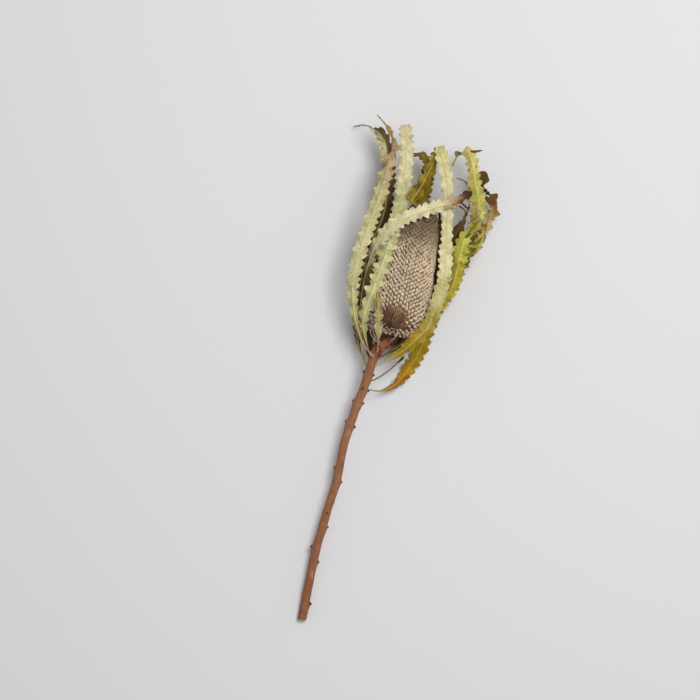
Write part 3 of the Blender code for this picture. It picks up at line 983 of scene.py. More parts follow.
@dataclass
class Leaf:
    """One leaf: where its stalk meets the stem, and the line that its midrib follows.

    A row of path is (u, v, z, roll). The outer face is up at roll 0, and the inner one at 180.
    A row of swell is (share of the length, share of the width).
    """

    name: str
    below_top: float
    side: float
    path: Sequence[Sequence[float]]
    width: float = 13.0
    petiole: float = 16.0
    blade_from: float = 16.0
    growth: float = 0.4
    worn_from: float = 0.75
    tip: float = 0.55
    thin: float = 0.0
    swell: Sequence[tuple[float, float]] = ((0.0, 1.0), (1.0, 1.0))
    bare_from: float = 2.0
    bare_run: float = 0.03
    bare_half: float = 0.4
    rag: float = 0.7
    rag_turns: tuple[float, float] = (0.9, 0.37)
    lobe_from: float = 2.0
    lobe_half: float = 4.3
    lobe_least: float = 0.6
    keel: float = 0.16
    wave: float = 0.7
    wave_turns: float = 0.38
    wave_apart: float = 0.9
    crimp: float = 1.9
    crimp_apart: float = 1.7
    pitch: float = 5.6
    pitch_range: tuple[float, float] = (0.84, 1.18)
    depth: float = 0.42
    depth_range: tuple[float, float] = (0.75, 1.2)
    sweep: float = 0.74
    sweep_spread: float = 0.08
    top_range: tuple[float, float] = (0.94, 1.04)
    tooth_bend: float = 1.7
    teeth_fade: float = 8.0
    half_thick: float = 0.26
    rim_thinner: float = 0.45
    rib: float = 0.34
    rib_half: float = 0.42
    rib_below: float = 0.3
    stalk: float = 0.5
    stalk_flat: float = 0.95
    solid_stalk: float = 1.1
    stalk_swell_from: float = 0.6
    foot_swell: float = 0.5
    foot_run: float = 1.2
    root_sink: float = 1.9
    row_step: float = 0.46
    columns: Sequence[float] = (0.0, 0.055, 0.12, 0.26, 0.44, 0.62, 0.78, 0.9, 1.0)
    tatters: Sequence[Tatter] = ()
    seed: int = 1

    def rows(self) -> tuple[list[Sequence[float]], np.ndarray]:
        """The rows of the midrib from the bark on.

        Returns:
            The rows, and the way out of the stem.
        """
        start, out = stem_point(self.below_top, self.side, ROOT_GAP)
        roll = self.path[0][3]
        return [(*start, roll), (*(start + out * ROOT_RUN + ROOT_LEAN), roll), *self.path], out

    def reference(self, length: float) -> float:
        """Where the leaf's normal points straight up.

        Args:
            length: The leaf's length.

        Returns:
            The distance from the root.
        """
        teeth = round((length - self.petiole) / SOLID_PITCH)
        pitch = (length - self.petiole) / teeth
        stations = [self.petiole * share for share in SOLID_STALK_SHARES]
        for tooth in range(teeth):
            start = self.petiole + tooth * pitch
            stations += [start, start + SOLID_SWEEP * pitch]
        stations.append(length)
        return stations[len(stations) // 3]

    def half_widths(self, along: np.ndarray, length: float) -> np.ndarray:
        """Half the width between the teeth's tips.

        Args:
            along: Distances from the root.
            length: The leaf's length.

        Returns:
            Half the width at each distance.
        """
        share = np.clip((along - self.blade_from) / (length - self.blade_from), 0, 1)
        grown = np.sin(math.pi / 2 * np.minimum(1, share / self.growth))
        worn = np.maximum(0, (share - self.worn_from) / (1 - self.worn_from))
        full = self.width / 2 * (1 - (1 - self.tip) * worn**2)
        near = (along / self.blade_from - self.stalk_swell_from) / (1 - self.stalk_swell_from)
        stalk = self.stalk + (self.solid_stalk - self.stalk) * np.clip(near, 0, 1)**2
        foot = self.foot_swell * np.exp(-np.maximum(0, along + 0.5) / self.foot_run)
        wide = (stalk + (full - stalk) * grown) * (1 - self.thin * worn**2) + foot
        wide *= np.interp(along / length, *zip(*self.swell))
        bare = np.clip((share - self.bare_from) / self.bare_run, 0, 1)
        fast, slow = self.rag_turns
        rags = self.rag * np.maximum(0, np.sin(along * fast + np.sin(along * slow))) ** 6
        wide = wide + (self.bare_half + rags - wide) * bare
        if self.lobe_from < 1:
            across = np.clip((share - self.lobe_from) / (1 - self.lobe_from), 0, 1) * 2 - 1
            lobe = np.maximum(self.lobe_least, self.lobe_half * np.sqrt(np.maximum(0, 1 - across**2)))
            wide = np.where(share > self.lobe_from, lobe, wide)
        return wide

    def margin(self, along: np.ndarray, length: float, draw: np.random.Generator
               ) -> tuple[np.ndarray, np.ndarray, np.ndarray]:
        """The toothed margin of one side.

        Args:
            along: Distances from the root.
            length: The leaf's length.
            draw: Source of the teeth's small differences.

        Returns:
            The share of the full width that the blade reaches, how far each tooth bends, and a
            tone for each tooth.
        """
        places, reach, bends, tones = [0.0], [1.0], [0.0], [0.5]
        start = self.blade_from - draw.uniform(0, 0.5) * self.pitch
        while start < length:
            pitch = self.pitch * draw.uniform(*self.pitch_range)
            depth = self.depth * draw.uniform(*self.depth_range)
            sweep = self.sweep + draw.uniform(-self.sweep_spread, self.sweep_spread)
            top = draw.uniform(*self.top_range)
            bend, tone = draw.uniform(-1, 1), draw.uniform(0, 1)
            for share, level, lift in (
                    (0.0, 1 - depth, 0.0), (0.2, 1 - depth * 0.62, 0.3),
                    (0.42, 1 - depth * 0.3, 0.6), (sweep, top, 1.0),
                    (sweep + 0.1, top - depth * 0.5, 0.6), (sweep + 0.24, 1 - depth * 0.86, 0.1)):
                places.append(start + share * pitch)
                reach.append(level)
                bends.append(bend * lift)
                tones.append(tone)
            start += pitch
        return tuple(np.interp(along, places, values) for values in (reach, bends, tones))

    def sheet(self) -> dict[str, np.ndarray]:
        """The blade's middle surface.

        Returns:
            Its points, the widths and distances of each, tones, and the half thickness.
        """
        rows, out = self.rows()
        length = length_of(rows)
        draw = np.random.default_rng(self.seed)
        count = int((length + self.root_sink) / self.row_step)
        along = np.linspace(-self.root_sink, length, count)
        line = smooth_path(rows, np.maximum(0, along) / length)
        line[:, :3] += out * np.minimum(0, along)[:, None]
        reference = int(np.abs(along - self.reference(length)).argmin())
        tangents, normals = carried_normals(line[:, :3], reference)
        roll = np.radians(line[:, 3])[:, None]
        facing = normals * np.cos(roll) + np.cross(tangents, normals) * np.sin(roll)
        across = np.cross(tangents, facing)
        halves = self.half_widths(along, length)
        right, right_bend, right_tone = self.margin(along, length, draw)
        left, left_bend, left_tone = self.margin(along, length, draw)
        spread = np.array([-c for c in self.columns[:0:-1]] + list(self.columns))
        is_right = spread[None] >= 0
        bladed = np.clip((along - self.blade_from) / self.teeth_fade, 0, 1)[:, None]
        plain = ((along - self.blade_from) / (length - self.blade_from) > self.lobe_from)[:, None]
        reach = np.where(is_right, right[:, None], left[:, None])
        reach = 1 + (reach - 1) * bladed * ~plain
        wide = halves[:, None] * reach
        bend = np.where(is_right, right_bend[:, None], left_bend[:, None]) * bladed
        tone = np.where(is_right, right_tone[:, None], left_tone[:, None])
        grown = np.clip(wide / (self.width / 2), 0, 1)
        ripple = self.wave * grown * np.sin(
            along[:, None] * self.wave_turns + np.sign(spread) * self.wave_apart)
        folds = np.sin(along[:, None] * math.pi / self.pitch + np.sign(spread) * self.crimp_apart)
        height = (np.abs(spread) * (ripple - self.keel * wide)
                  + (spread**2 * self.crimp * folds + spread**4 * self.tooth_bend * bend)
                  * grown * bladed)
        points = (line[:, None, :3] + across[:, None] * (spread * wide)[..., None]
                  + facing[:, None] * height[..., None])
        oval = np.sqrt(np.maximum(0.0, 1 - spread**2))[None]
        flat = self.half_thick * (1 - self.rim_thinner * spread**2)[None]
        half = flat * bladed + self.stalk * self.stalk_flat * oval * (1 - bladed)
        rib = self.rib * np.exp(-(spread * wide / self.rib_half) ** 2) * bladed
        return {
            "points": points, "facing": facing, "across": spread * wide,
            "along": np.broadcast_to(along[:, None], wide.shape), "length": length,
            "rim": np.broadcast_to(np.abs(spread), wide.shape) * reach, "tone": tone,
            "half": half, "rib": rib}

    def build(self) -> bpy.types.Object:
        """Makes the leaf: two faces a little apart, joined round their rim.

        Returns:
            The piece.
        """
        sheet = self.sheet()
        points = sheet["points"]
        rows, columns = points.shape[:2]
        normal = unit(np.cross(np.gradient(points, axis=0), np.gradient(points, axis=1)))
        agrees = np.sign((normal * sheet["facing"][:, None]).sum(-1, keepdims=True))
        normal *= np.where(agrees == 0, 1, agrees)
        upper = points + normal * (sheet["half"] + sheet["rib"])[..., None]
        lower = points - normal * (sheet["half"] + sheet["rib"] * self.rib_below)[..., None]
        faces = grid_faces(rows, columns, False)
        second = rows * columns
        faces += [tuple(corner + second for corner in face[::-1]) for face in faces]
        for row in range(rows - 1):
            for column in (0, columns - 1):
                low, high = row * columns + column, (row + 1) * columns + column
                faces.append((low, high, high + second, low + second))
        for row in (0, rows - 1):
            for column in range(columns - 1):
                corner = row * columns + column
                faces.append((corner, corner + 1, corner + 1 + second, corner + second))
        shape = Shape()
        kind = np.stack([np.clip(sheet["along"] / sheet["length"], 0, 1), sheet["rim"],
                         sheet["tone"]], axis=-1).reshape(-1, 3)
        lays = [np.stack([sheet["across"], sheet["along"],
                          np.full(sheet["along"].shape, face.value)], axis=-1).reshape(-1, 3)
                for face in (Face.OUTER, Face.INNER)]
        shape.add(np.vstack([upper.reshape(-1, 3), lower.reshape(-1, 3)]), faces,
                  np.vstack(lays), np.vstack([kind, kind]))
        for tatter in self.tatters:
            tatter.add(shape)
        skin = self.name + "_skin"
        return shape.piece(
            self.name + "_blade", SKINS[self.name].paint(skin + "_finish"), self.name, skin)


@dataclass
class FlowerSpike:
    """The spike: a brown core in the shape of a blunt egg, and the florets that cover it.

    A row of the core's foot is (radius, height over the spike's base). One of a floret is (share of
    its length, share of its half width).
    """

    radius: float = 21.8
    fattest: float = 0.2
    taper: float = 0.5
    foot: float = 0.42
    crown: float = 10.0
    core_sink: float = 0.9
    core_rings: int = 90
    core_sides: int = 72
    core_foot: Sequence[tuple[float, float]] = ((0.02, -2.6), (4.5, -2.4), (9.0, -1.6), (12.0, -0.7))
    core_tone: float = 0.3
    per_ring: int = 26
    first_ring: float = 0.8
    ring_step: float = 1.7
    least_apart: float = 3.3
    least_count: int = 3
    floret_length: float = 5.0
    floret_sink: float = 0.7
    floret_half: float = 0.8
    floret_sides: int = 6
    floret_rows: Sequence[tuple[float, float]] = ((0.0, 0.74), (0.55, 0.9), (0.82, 1.0), (0.96, 0.54))
    length_range: tuple[float, float] = (0.86, 1.12)
    place_spread: float = 0.14
    turn_spread: float = 0.007
    tilt_spread: float = 0.09
    swing_spread: float = 0.07
    pair_apart: float = 0.72
    pair_splay: float = 0.1
    lean: float = math.radians(60)
    lean_rise: tuple[float, float] = (0.72, 1.22)
    droop_over: float = 14.0
    droop: float = 0.75
    foot_longer: float = 0.3
    full_from: float = 9.0
    smallest: float = 0.62
    fan_middle: tuple[float, float] = (6.0, 13.0)
    fan_reach: float = 9.0
    fan_edge: float = 2.0
    fan_press: float = 0.55
    seed: int = 5
    profile_steps: int = 3000
    heights: tuple[float, float, float] = (70.0, 10.0, -0.1)
    ahead: float = 0.4

    def frame_of(self) -> tuple[np.ndarray, np.ndarray, np.ndarray, np.ndarray, float]:
        """How the spike lies.

        Returns:
            Its base, the ways to its apex, right and up, and its length.
        """
        base, apex = np.array(SPIKE_BASE), np.array(SPIKE_APEX)
        axis = unit(apex - base)
        right = unit(np.cross(axis, UP))
        return base, axis, right, np.cross(right, axis), float(np.linalg.norm(apex - base))

    def radii(self, share: np.ndarray) -> np.ndarray:
        """The core's radius.

        Args:
            share: Shares of the length, from the base.

        Returns:
            The radius at each.
        """
        taper = 1 - self.taper * (share - self.fattest)
        foot = 1 - self.foot * np.maximum(0, 1 - share / self.fattest) ** 3
        return self.radius * taper * foot * np.sqrt(np.maximum(0, 1 - share**self.crown))

    def cover(self, u: float, v: float, lift: float) -> np.ndarray:
        """The point over this place on the page that is just above the spike.

        Args:
            u: Place across the page.
            v: Place up the page.
            lift: Distance outside the core's surface.

        Returns:
            The point.
        """
        base, axis, _, _, length = self.frame_of()
        for height in np.arange(*self.heights):
            from_base = np.array([u, v, height]) - base
            rise = float(from_base @ axis)
            away = float(np.linalg.norm(from_base - axis * rise))
            share = np.array(min(1.0, max(0.0, rise / length)))
            if away <= float(self.radii(share)) + lift and -3 <= rise <= length:
                return np.array([u, v, height])
        return np.array([u, v, base[2] + 5.0])

    def profile(self) -> tuple[np.ndarray, np.ndarray, np.ndarray]:
        """The core's outline, from the base to the apex.

        Returns:
            Radius, height and distance run at each step.
        """
        _, _, _, _, length = self.frame_of()
        share = 1 - (1 - np.linspace(0, 1, self.profile_steps)) ** 2
        radius, height = self.radii(share), share * length
        run = np.concatenate([[0], np.cumsum(np.hypot(np.diff(radius), np.diff(height)))])
        return radius, height, run

    def add_core(self, shape: Shape) -> None:
        """Adds the core, closed at its foot towards the stem.

        Args:
            shape: The spike's shape.
        """
        base, axis, right, up, length = self.frame_of()
        radius, height, run = self.profile()
        places = np.linspace(0, run[-1], self.core_rings)
        rows = np.column_stack([np.interp(places, run, radius), np.interp(places, run, height)])
        rows = np.maximum(rows - (self.core_sink, 0), (self.core_foot[0][0], 0))
        rows = np.vstack([self.core_foot, rows])
        turn = np.arange(self.core_sides) / self.core_sides * 2 * math.pi
        away = right * np.cos(turn)[:, None] + up * np.sin(turn)[:, None]
        points = base + axis * rows[:, 1, None, None] + away * rows[:, 0, None, None]
        faces = grid_faces(len(rows), len(turn), True)
        faces += [tuple(range(len(turn)))[::-1],
                  tuple(range((len(rows) - 1) * len(turn), len(rows) * len(turn)))]
        rise = np.repeat(np.clip(rows[:, 1] / length, 0, 1), len(turn))
        # The core takes the florets' darkest colour, partly painted shade deep between them.
        kind = np.column_stack([rise, np.full_like(rise, self.core_tone), np.zeros_like(rise)])
        shape.add(points.reshape(-1, 3), faces, np.zeros(3), kind)

    def floret(self) -> tuple[np.ndarray, np.ndarray, list[tuple[int, ...]]]:
        """One floret, in units of its length and half width.

        Returns:
            Its points as (side, towards the apex, out of the spike), the share of its length that
            each lies at, and its faces.
        """
        shares, halves = np.array(self.floret_rows).T
        sides = self.floret_sides
        angles = self.lean * np.interp(shares, (0, 1), self.lean_rise)
        steps = np.diff(np.append(shares, 1.0))
        towards = np.concatenate([[0], np.cumsum(np.sin(angles) * steps)])
        outward = np.concatenate([[0], np.cumsum(np.cos(angles) * steps)])
        turn = np.arange(sides) / sides * 2 * math.pi
        slim = self.floret_half / self.floret_length
        points = []
        for row, half in enumerate(halves):
            side = np.cos(turn) * half * slim
            depth = np.sin(turn) * half * slim
            points.append(np.column_stack([
                side, towards[row] - depth * math.cos(angles[row]),
                outward[row] + depth * math.sin(angles[row])]))
        points.append([(0, towards[0], outward[0]), (0, towards[-1], outward[-1])])
        faces = grid_faces(len(halves), sides, True)
        last = (len(halves) - 1) * sides
        for corner in range(sides):
            after = (corner + 1) % sides
            faces += [(after, corner, last + sides), (last + corner, last + after, last + sides + 1)]
        along = np.concatenate([np.repeat(shares, sides), (0, 1)])
        return np.vstack(points), along, faces

    def places(self) -> np.ndarray:
        """Where the florets stand.

        Returns:
            Rows of distance along the outline, turn, and side of a pair.
        """
        radius, _, run = self.profile()
        rows = []
        for number in range(int((run[-1] - 1.0) / self.ring_step)):
            place = self.first_ring + number * self.ring_step
            around = float(np.interp(place, run, radius))
            count = self.per_ring
            while count > self.least_count and 2 * math.pi * around / count < self.least_apart:
                count = (count + 1) // 2
            for column in range(count):
                turn = (column + number % 2 / 2) / count * 2 * math.pi
                rows += [(place, turn, -1.0), (place, turn, 1.0)]
        return np.array(rows)

    def add_florets(self, shape: Shape) -> None:
        """Adds the florets, each a little different from the next.

        Args:
            shape: The spike's shape.
        """
        base, axis, right, up, length = self.frame_of()
        radius, height, run = self.profile()
        draw = np.random.default_rng(self.seed)
        places = self.places()
        count = len(places)
        place = places[:, 0] + draw.uniform(-self.place_spread, self.place_spread, count)
        turn = places[:, 1] + draw.uniform(-self.turn_spread, self.turn_spread, count)
        around, rise = np.interp(place, run, radius), np.interp(place, run, height)
        ahead_radius = np.interp(place + self.ahead, run, radius)
        ahead_rise = np.interp(place + self.ahead, run, height)
        away = right * np.cos(turn)[:, None] + up * np.sin(turn)[:, None]
        towards = unit(away * (ahead_radius - around)[:, None] + axis * (ahead_rise - rise)[:, None]
                       + axis * TINY)
        side = np.cross(axis, away)
        outward = unit(np.cross(side, towards))
        outward *= np.sign((outward * away).sum(1) + 0.2)[:, None]
        low = np.clip(1 - rise / self.droop_over, 0, 1)
        tilt = draw.normal(0, self.tilt_spread, count) - self.droop * low
        swing = draw.normal(0, self.swing_spread, count) + places[:, 2] * self.pair_splay
        leaning = (towards * np.cos(tilt)[:, None] - outward * np.sin(tilt)[:, None])
        standing = (outward * np.cos(tilt)[:, None] + towards * np.sin(tilt)[:, None])
        sideways = side * np.cos(swing)[:, None] + leaning * np.sin(swing)[:, None]
        leaning = leaning * np.cos(swing)[:, None] - side * np.sin(swing)[:, None]
        small = np.clip(around / self.full_from, self.smallest, 1.0)
        size = self.floret_length * draw.uniform(*self.length_range, count) * small
        size *= 1 + self.foot_longer * low
        form, along, faces = self.floret()
        on_page = base + axis * rise[:, None] + away * around[:, None]
        apart = np.hypot(*(on_page[:, :2] - self.fan_middle).T)
        pressed = np.clip((self.fan_reach - apart) / self.fan_edge, 0, 1) * (on_page[:, 2] > base[2])
        size *= 1 - self.fan_press * pressed
        foot = base + axis * rise[:, None] + away * (around - self.core_sink)[:, None]
        foot -= outward * self.floret_sink
        foot += side * (places[:, 2] * self.pair_apart * small)[:, None]
        local = form[None] * size[:, None, None]
        points = (foot[:, None] + sideways[:, None] * local[..., :1]
                  + leaning[:, None] * local[..., 1:2] + standing[:, None] * local[..., 2:])
        per = len(form)
        all_faces = [tuple(corner + number * per for corner in face)
                     for number in range(count) for face in faces]
        tone = draw.uniform(0, 1, count)
        kind = np.column_stack([
            np.repeat(rise / length, per), np.repeat(tone, per), np.zeros(count * per)])
        lay = np.column_stack([np.zeros(count * per), np.zeros(count * per), np.tile(along, count)])
        shape.add(points.reshape(-1, 3), all_faces, lay, kind)

    def build(self) -> bpy.types.Object:
        """Makes the spike.

        Returns:
            The piece.
        """
        shape = Shape()
        self.add_core(shape)
        self.add_florets(shape)
        return shape.piece(
            "spike_florets", FloretFinish().paint("floret_finish"), "spike", "floret_tips")


@dataclass
class Stem:
    """The woody stem, with leaf scars along it, bracts at its neck and a square cut foot.

    A scar is (distance down from the top, side in degrees). A row of its peg is (share of its rise,
    share of its half width).
    """

    sides: int = 36
    ring_step: float = 0.6
    seed: int = 8
    rough: float = 0.15
    knot_step: float = 5.0
    knot_columns: int = 12
    bark_sink: float = 0.12
    swell_rise: float = 0.75
    swell_below: float = 4.2
    swell_above: float = 1.5
    swell_half: float = 1.5
    cut_shares: Sequence[float] = (1.0, 0.93, 0.8, 0.6, 0.4, 0.2, 0.02)
    cut_sink: float = 0.25
    pith_sink: float = 0.1
    peg_sink: float = 0.6
    peg_half: float = 1.05
    peg_rise: float = 0.95
    peg_over: float = 0.9
    peg_tilt: float = 0.5
    peg_flat: float = 0.9
    peg_sides: int = 9
    peg_rises: tuple[float, float] = (0.75, 1.3)
    peg_halves: tuple[float, float] = (0.85, 1.2)
    peg_rows: Sequence[tuple[float, float]] = (
        (0.0, 1.15), (0.5, 1.0), (0.8, 0.95), (0.95, 0.8), (1.0, 0.35))
    scars: Sequence[tuple[float, float]] = (
        (40.1, 82), (52.8, 88), (63.7, 84), (83.6, 86), (128.7, 80), (165.9, 84), (194.8, 86),
        (228.5, 84), (64.4, -84), (81.4, -82), (118.6, -86), (183.9, -84), (39.8, -78),
        (52.3, -8), (154.8, 6), (72.0, 178), (92.5, 150), (103.0, -140), (111.0, 165),
        (138.0, -160), (146.0, 140), (174.0, 172), (205.0, -150), (217.0, 155))
    bracts: int = 110
    bract_from: float = 1.5
    bract_to: float = 27.0
    bract_length: float = 4.2
    bract_crowding: float = 1.3
    bract_sink: float = 0.5
    bract_halves: Sequence[float] = (1.0, 1.25, 0.9, 0.15)
    bract_thicks: Sequence[float] = (0.5, 0.42, 0.28, 0.08)
    bract_sizes: tuple[float, float] = (0.75, 1.2)
    bract_flares: tuple[float, float] = (0.25, 0.6)
    bract_smaller: float = 0.45
    bract_sides: int = 8
    turn_step: float = 137.5
    turn_spread: float = 14.0

    def surface(self) -> tuple[np.ndarray, np.ndarray, np.ndarray, float]:
        """The bark's rings.

        Returns:
            The points, the turn of each column, the distance of each row from the foot, and the
            stem's length.
        """
        total = length_of(STEM_PATH)
        along = np.linspace(0, total, int(total / self.ring_step))
        path = smooth_path(STEM_PATH, along / total)
        tangents = unit(np.gradient(path, axis=0))
        up = unit(UP - tangents * tangents[:, 2:])
        right = np.cross(tangents, up)
        turn = np.arange(self.sides) / self.sides * 2 * math.pi
        draw = np.random.default_rng(self.seed)
        radius = np.array([stem_radius(total - place) for place in along])[:, None]
        knots = draw.normal(0, 1, (int(total / self.knot_step), self.knot_columns))
        rows = np.linspace(0, len(knots) - 1, len(along))
        columns = turn / (2 * math.pi) * self.knot_columns
        lower, lefts = rows.astype(int), columns.astype(int)
        upper = np.minimum(lower + 1, len(knots) - 1)
        rights = (lefts + 1) % self.knot_columns
        mix_rows, mix_columns = (rows - lower)[:, None], (columns - lefts)[None]
        rough = ((knots[lower][:, lefts] * (1 - mix_columns) + knots[lower][:, rights] * mix_columns)
                 * (1 - mix_rows)
                 + (knots[upper][:, lefts] * (1 - mix_columns)
                    + knots[upper][:, rights] * mix_columns) * mix_rows)
        radius = radius + rough * self.rough - self.bark_sink
        for below_top, side in self.scars:
            gap = (along - (total - below_top))[:, None]
            apart = turn - math.radians(side)
            apart = (apart + math.pi) % (2 * math.pi) - math.pi
            stretch = np.where(gap < 0, self.swell_below, self.swell_above)
            away = apart * STEM_RADIUS / self.swell_half
            radius = radius + self.swell_rise * np.exp(-(gap / stretch) ** 2 - away**2)
        points = (path[:, None] + up[:, None] * (np.cos(turn)[:, None] * radius[..., None])
                  + right[:, None] * (np.sin(turn)[:, None] * radius[..., None]))
        return points, turn, along, total

    def add_bark(self, shape: Shape) -> None:
        """Adds the bark and the cut ends.

        Args:
            shape: The stem's shape.
        """
        points, turn, along, total = self.surface()
        rows, sides = len(along), self.sides
        faces = grid_faces(rows, sides, True)
        faces.append(tuple(range((rows - 1) * sides, rows * sides)))
        lay = np.column_stack([
            np.tile(np.sin(turn) * STEM_RADIUS + np.cos(turn * 3) * 0.7, rows),
            np.repeat(along, sides), np.repeat(along / total, sides)])
        shape.add(points.reshape(-1, 3), faces, lay, np.zeros(3))
        edge = points[0]
        middle = edge.mean(0)
        shares = self.cut_shares
        inward = unit(points[2].mean(0) - middle)
        sinks = [self.cut_sink * (share < 0.95) + self.pith_sink * (share < 0.3) for share in shares]
        rings = np.vstack([middle + (edge - middle) * share + inward * sink
                           for share, sink in zip(shares, sinks)])
        faces = grid_faces(len(shares), sides, True)
        faces.append(tuple(range((len(shares) - 1) * sides, len(shares) * sides)))
        radial = np.repeat(shares, sides)
        lay = np.column_stack([np.tile(turn, len(shares)), radial, radial])
        shape.add(rings, faces, lay, np.array([0.0, 0.0, 1.0]))

    def add_scars(self, shape: Shape) -> None:
        """Adds the broken leaf bases, as short blunt pegs.

        Args:
            shape: The stem's shape.
        """
        draw = np.random.default_rng(self.seed + 1)
        along = unit(np.array(STEM_PATH[-1], float) - np.array(STEM_PATH[0], float))
        shares, halves = np.array(self.peg_rows).T
        for below_top, side in self.scars:
            low, out = stem_point(below_top, side, -self.peg_sink)
            rise = self.peg_rise * draw.uniform(*self.peg_rises) + self.peg_over
            path = low + (out * rise + along * self.peg_tilt) * shares[:, None]
            wide = self.peg_half * draw.uniform(*self.peg_halves) * halves
            shape.tube(path, wide, wide * self.peg_flat, self.peg_sides, np.array([1.0, 0.0, 0.0]))

    def add_bracts(self, shape: Shape) -> None:
        """Adds the overlapping scales of the neck, pointing up the stem.

        Args:
            shape: The stem's shape.
        """
        draw = np.random.default_rng(self.seed + 2)
        along = unit(np.array(STEM_PATH[-1], float) - np.array(STEM_PATH[-3], float))
        halves, thick = np.array(self.bract_halves), np.array(self.bract_thicks)
        for number in range(self.bracts):
            share = (number / self.bracts) ** self.bract_crowding
            below_top = self.bract_from + (self.bract_to - self.bract_from) * share
            side = number * self.turn_step + draw.uniform(-self.turn_spread, self.turn_spread)
            low, out = stem_point(below_top, side, -self.bract_sink)
            size = self.bract_length * draw.uniform(*self.bract_sizes)
            size *= 1 - self.bract_smaller * share
            flare = draw.uniform(*self.bract_flares)
            path = np.array([low + along * size * reach + out * lift for reach, lift in (
                (0.0, 0.0), (0.35, 0.7), (0.7, 0.75 + flare * 0.5), (1.0, 0.7 + flare))])
            wide = halves * draw.uniform(*self.bract_sizes)
            # Bracts nearer the spike get a higher tone and so a darker colour: partly their own dark
            # red-brown, partly painted shade under the spike.
            tone = draw.uniform(0, 1) * 0.7 + 0.5 * (1 - share) ** 2
            shape.tube(path, wide, thick, self.bract_sides, np.array([-tone, 1.0, 0.0]))

    def build(self) -> bpy.types.Object:
        """Makes the stem.

        Returns:
            The piece.
        """
        shape = Shape()
        self.add_bark(shape)
        self.add_scars(shape)
        self.add_bracts(shape)
        return shape.piece("stem_bark", BarkFinish().paint("bark_finish"), "stem", "bark")


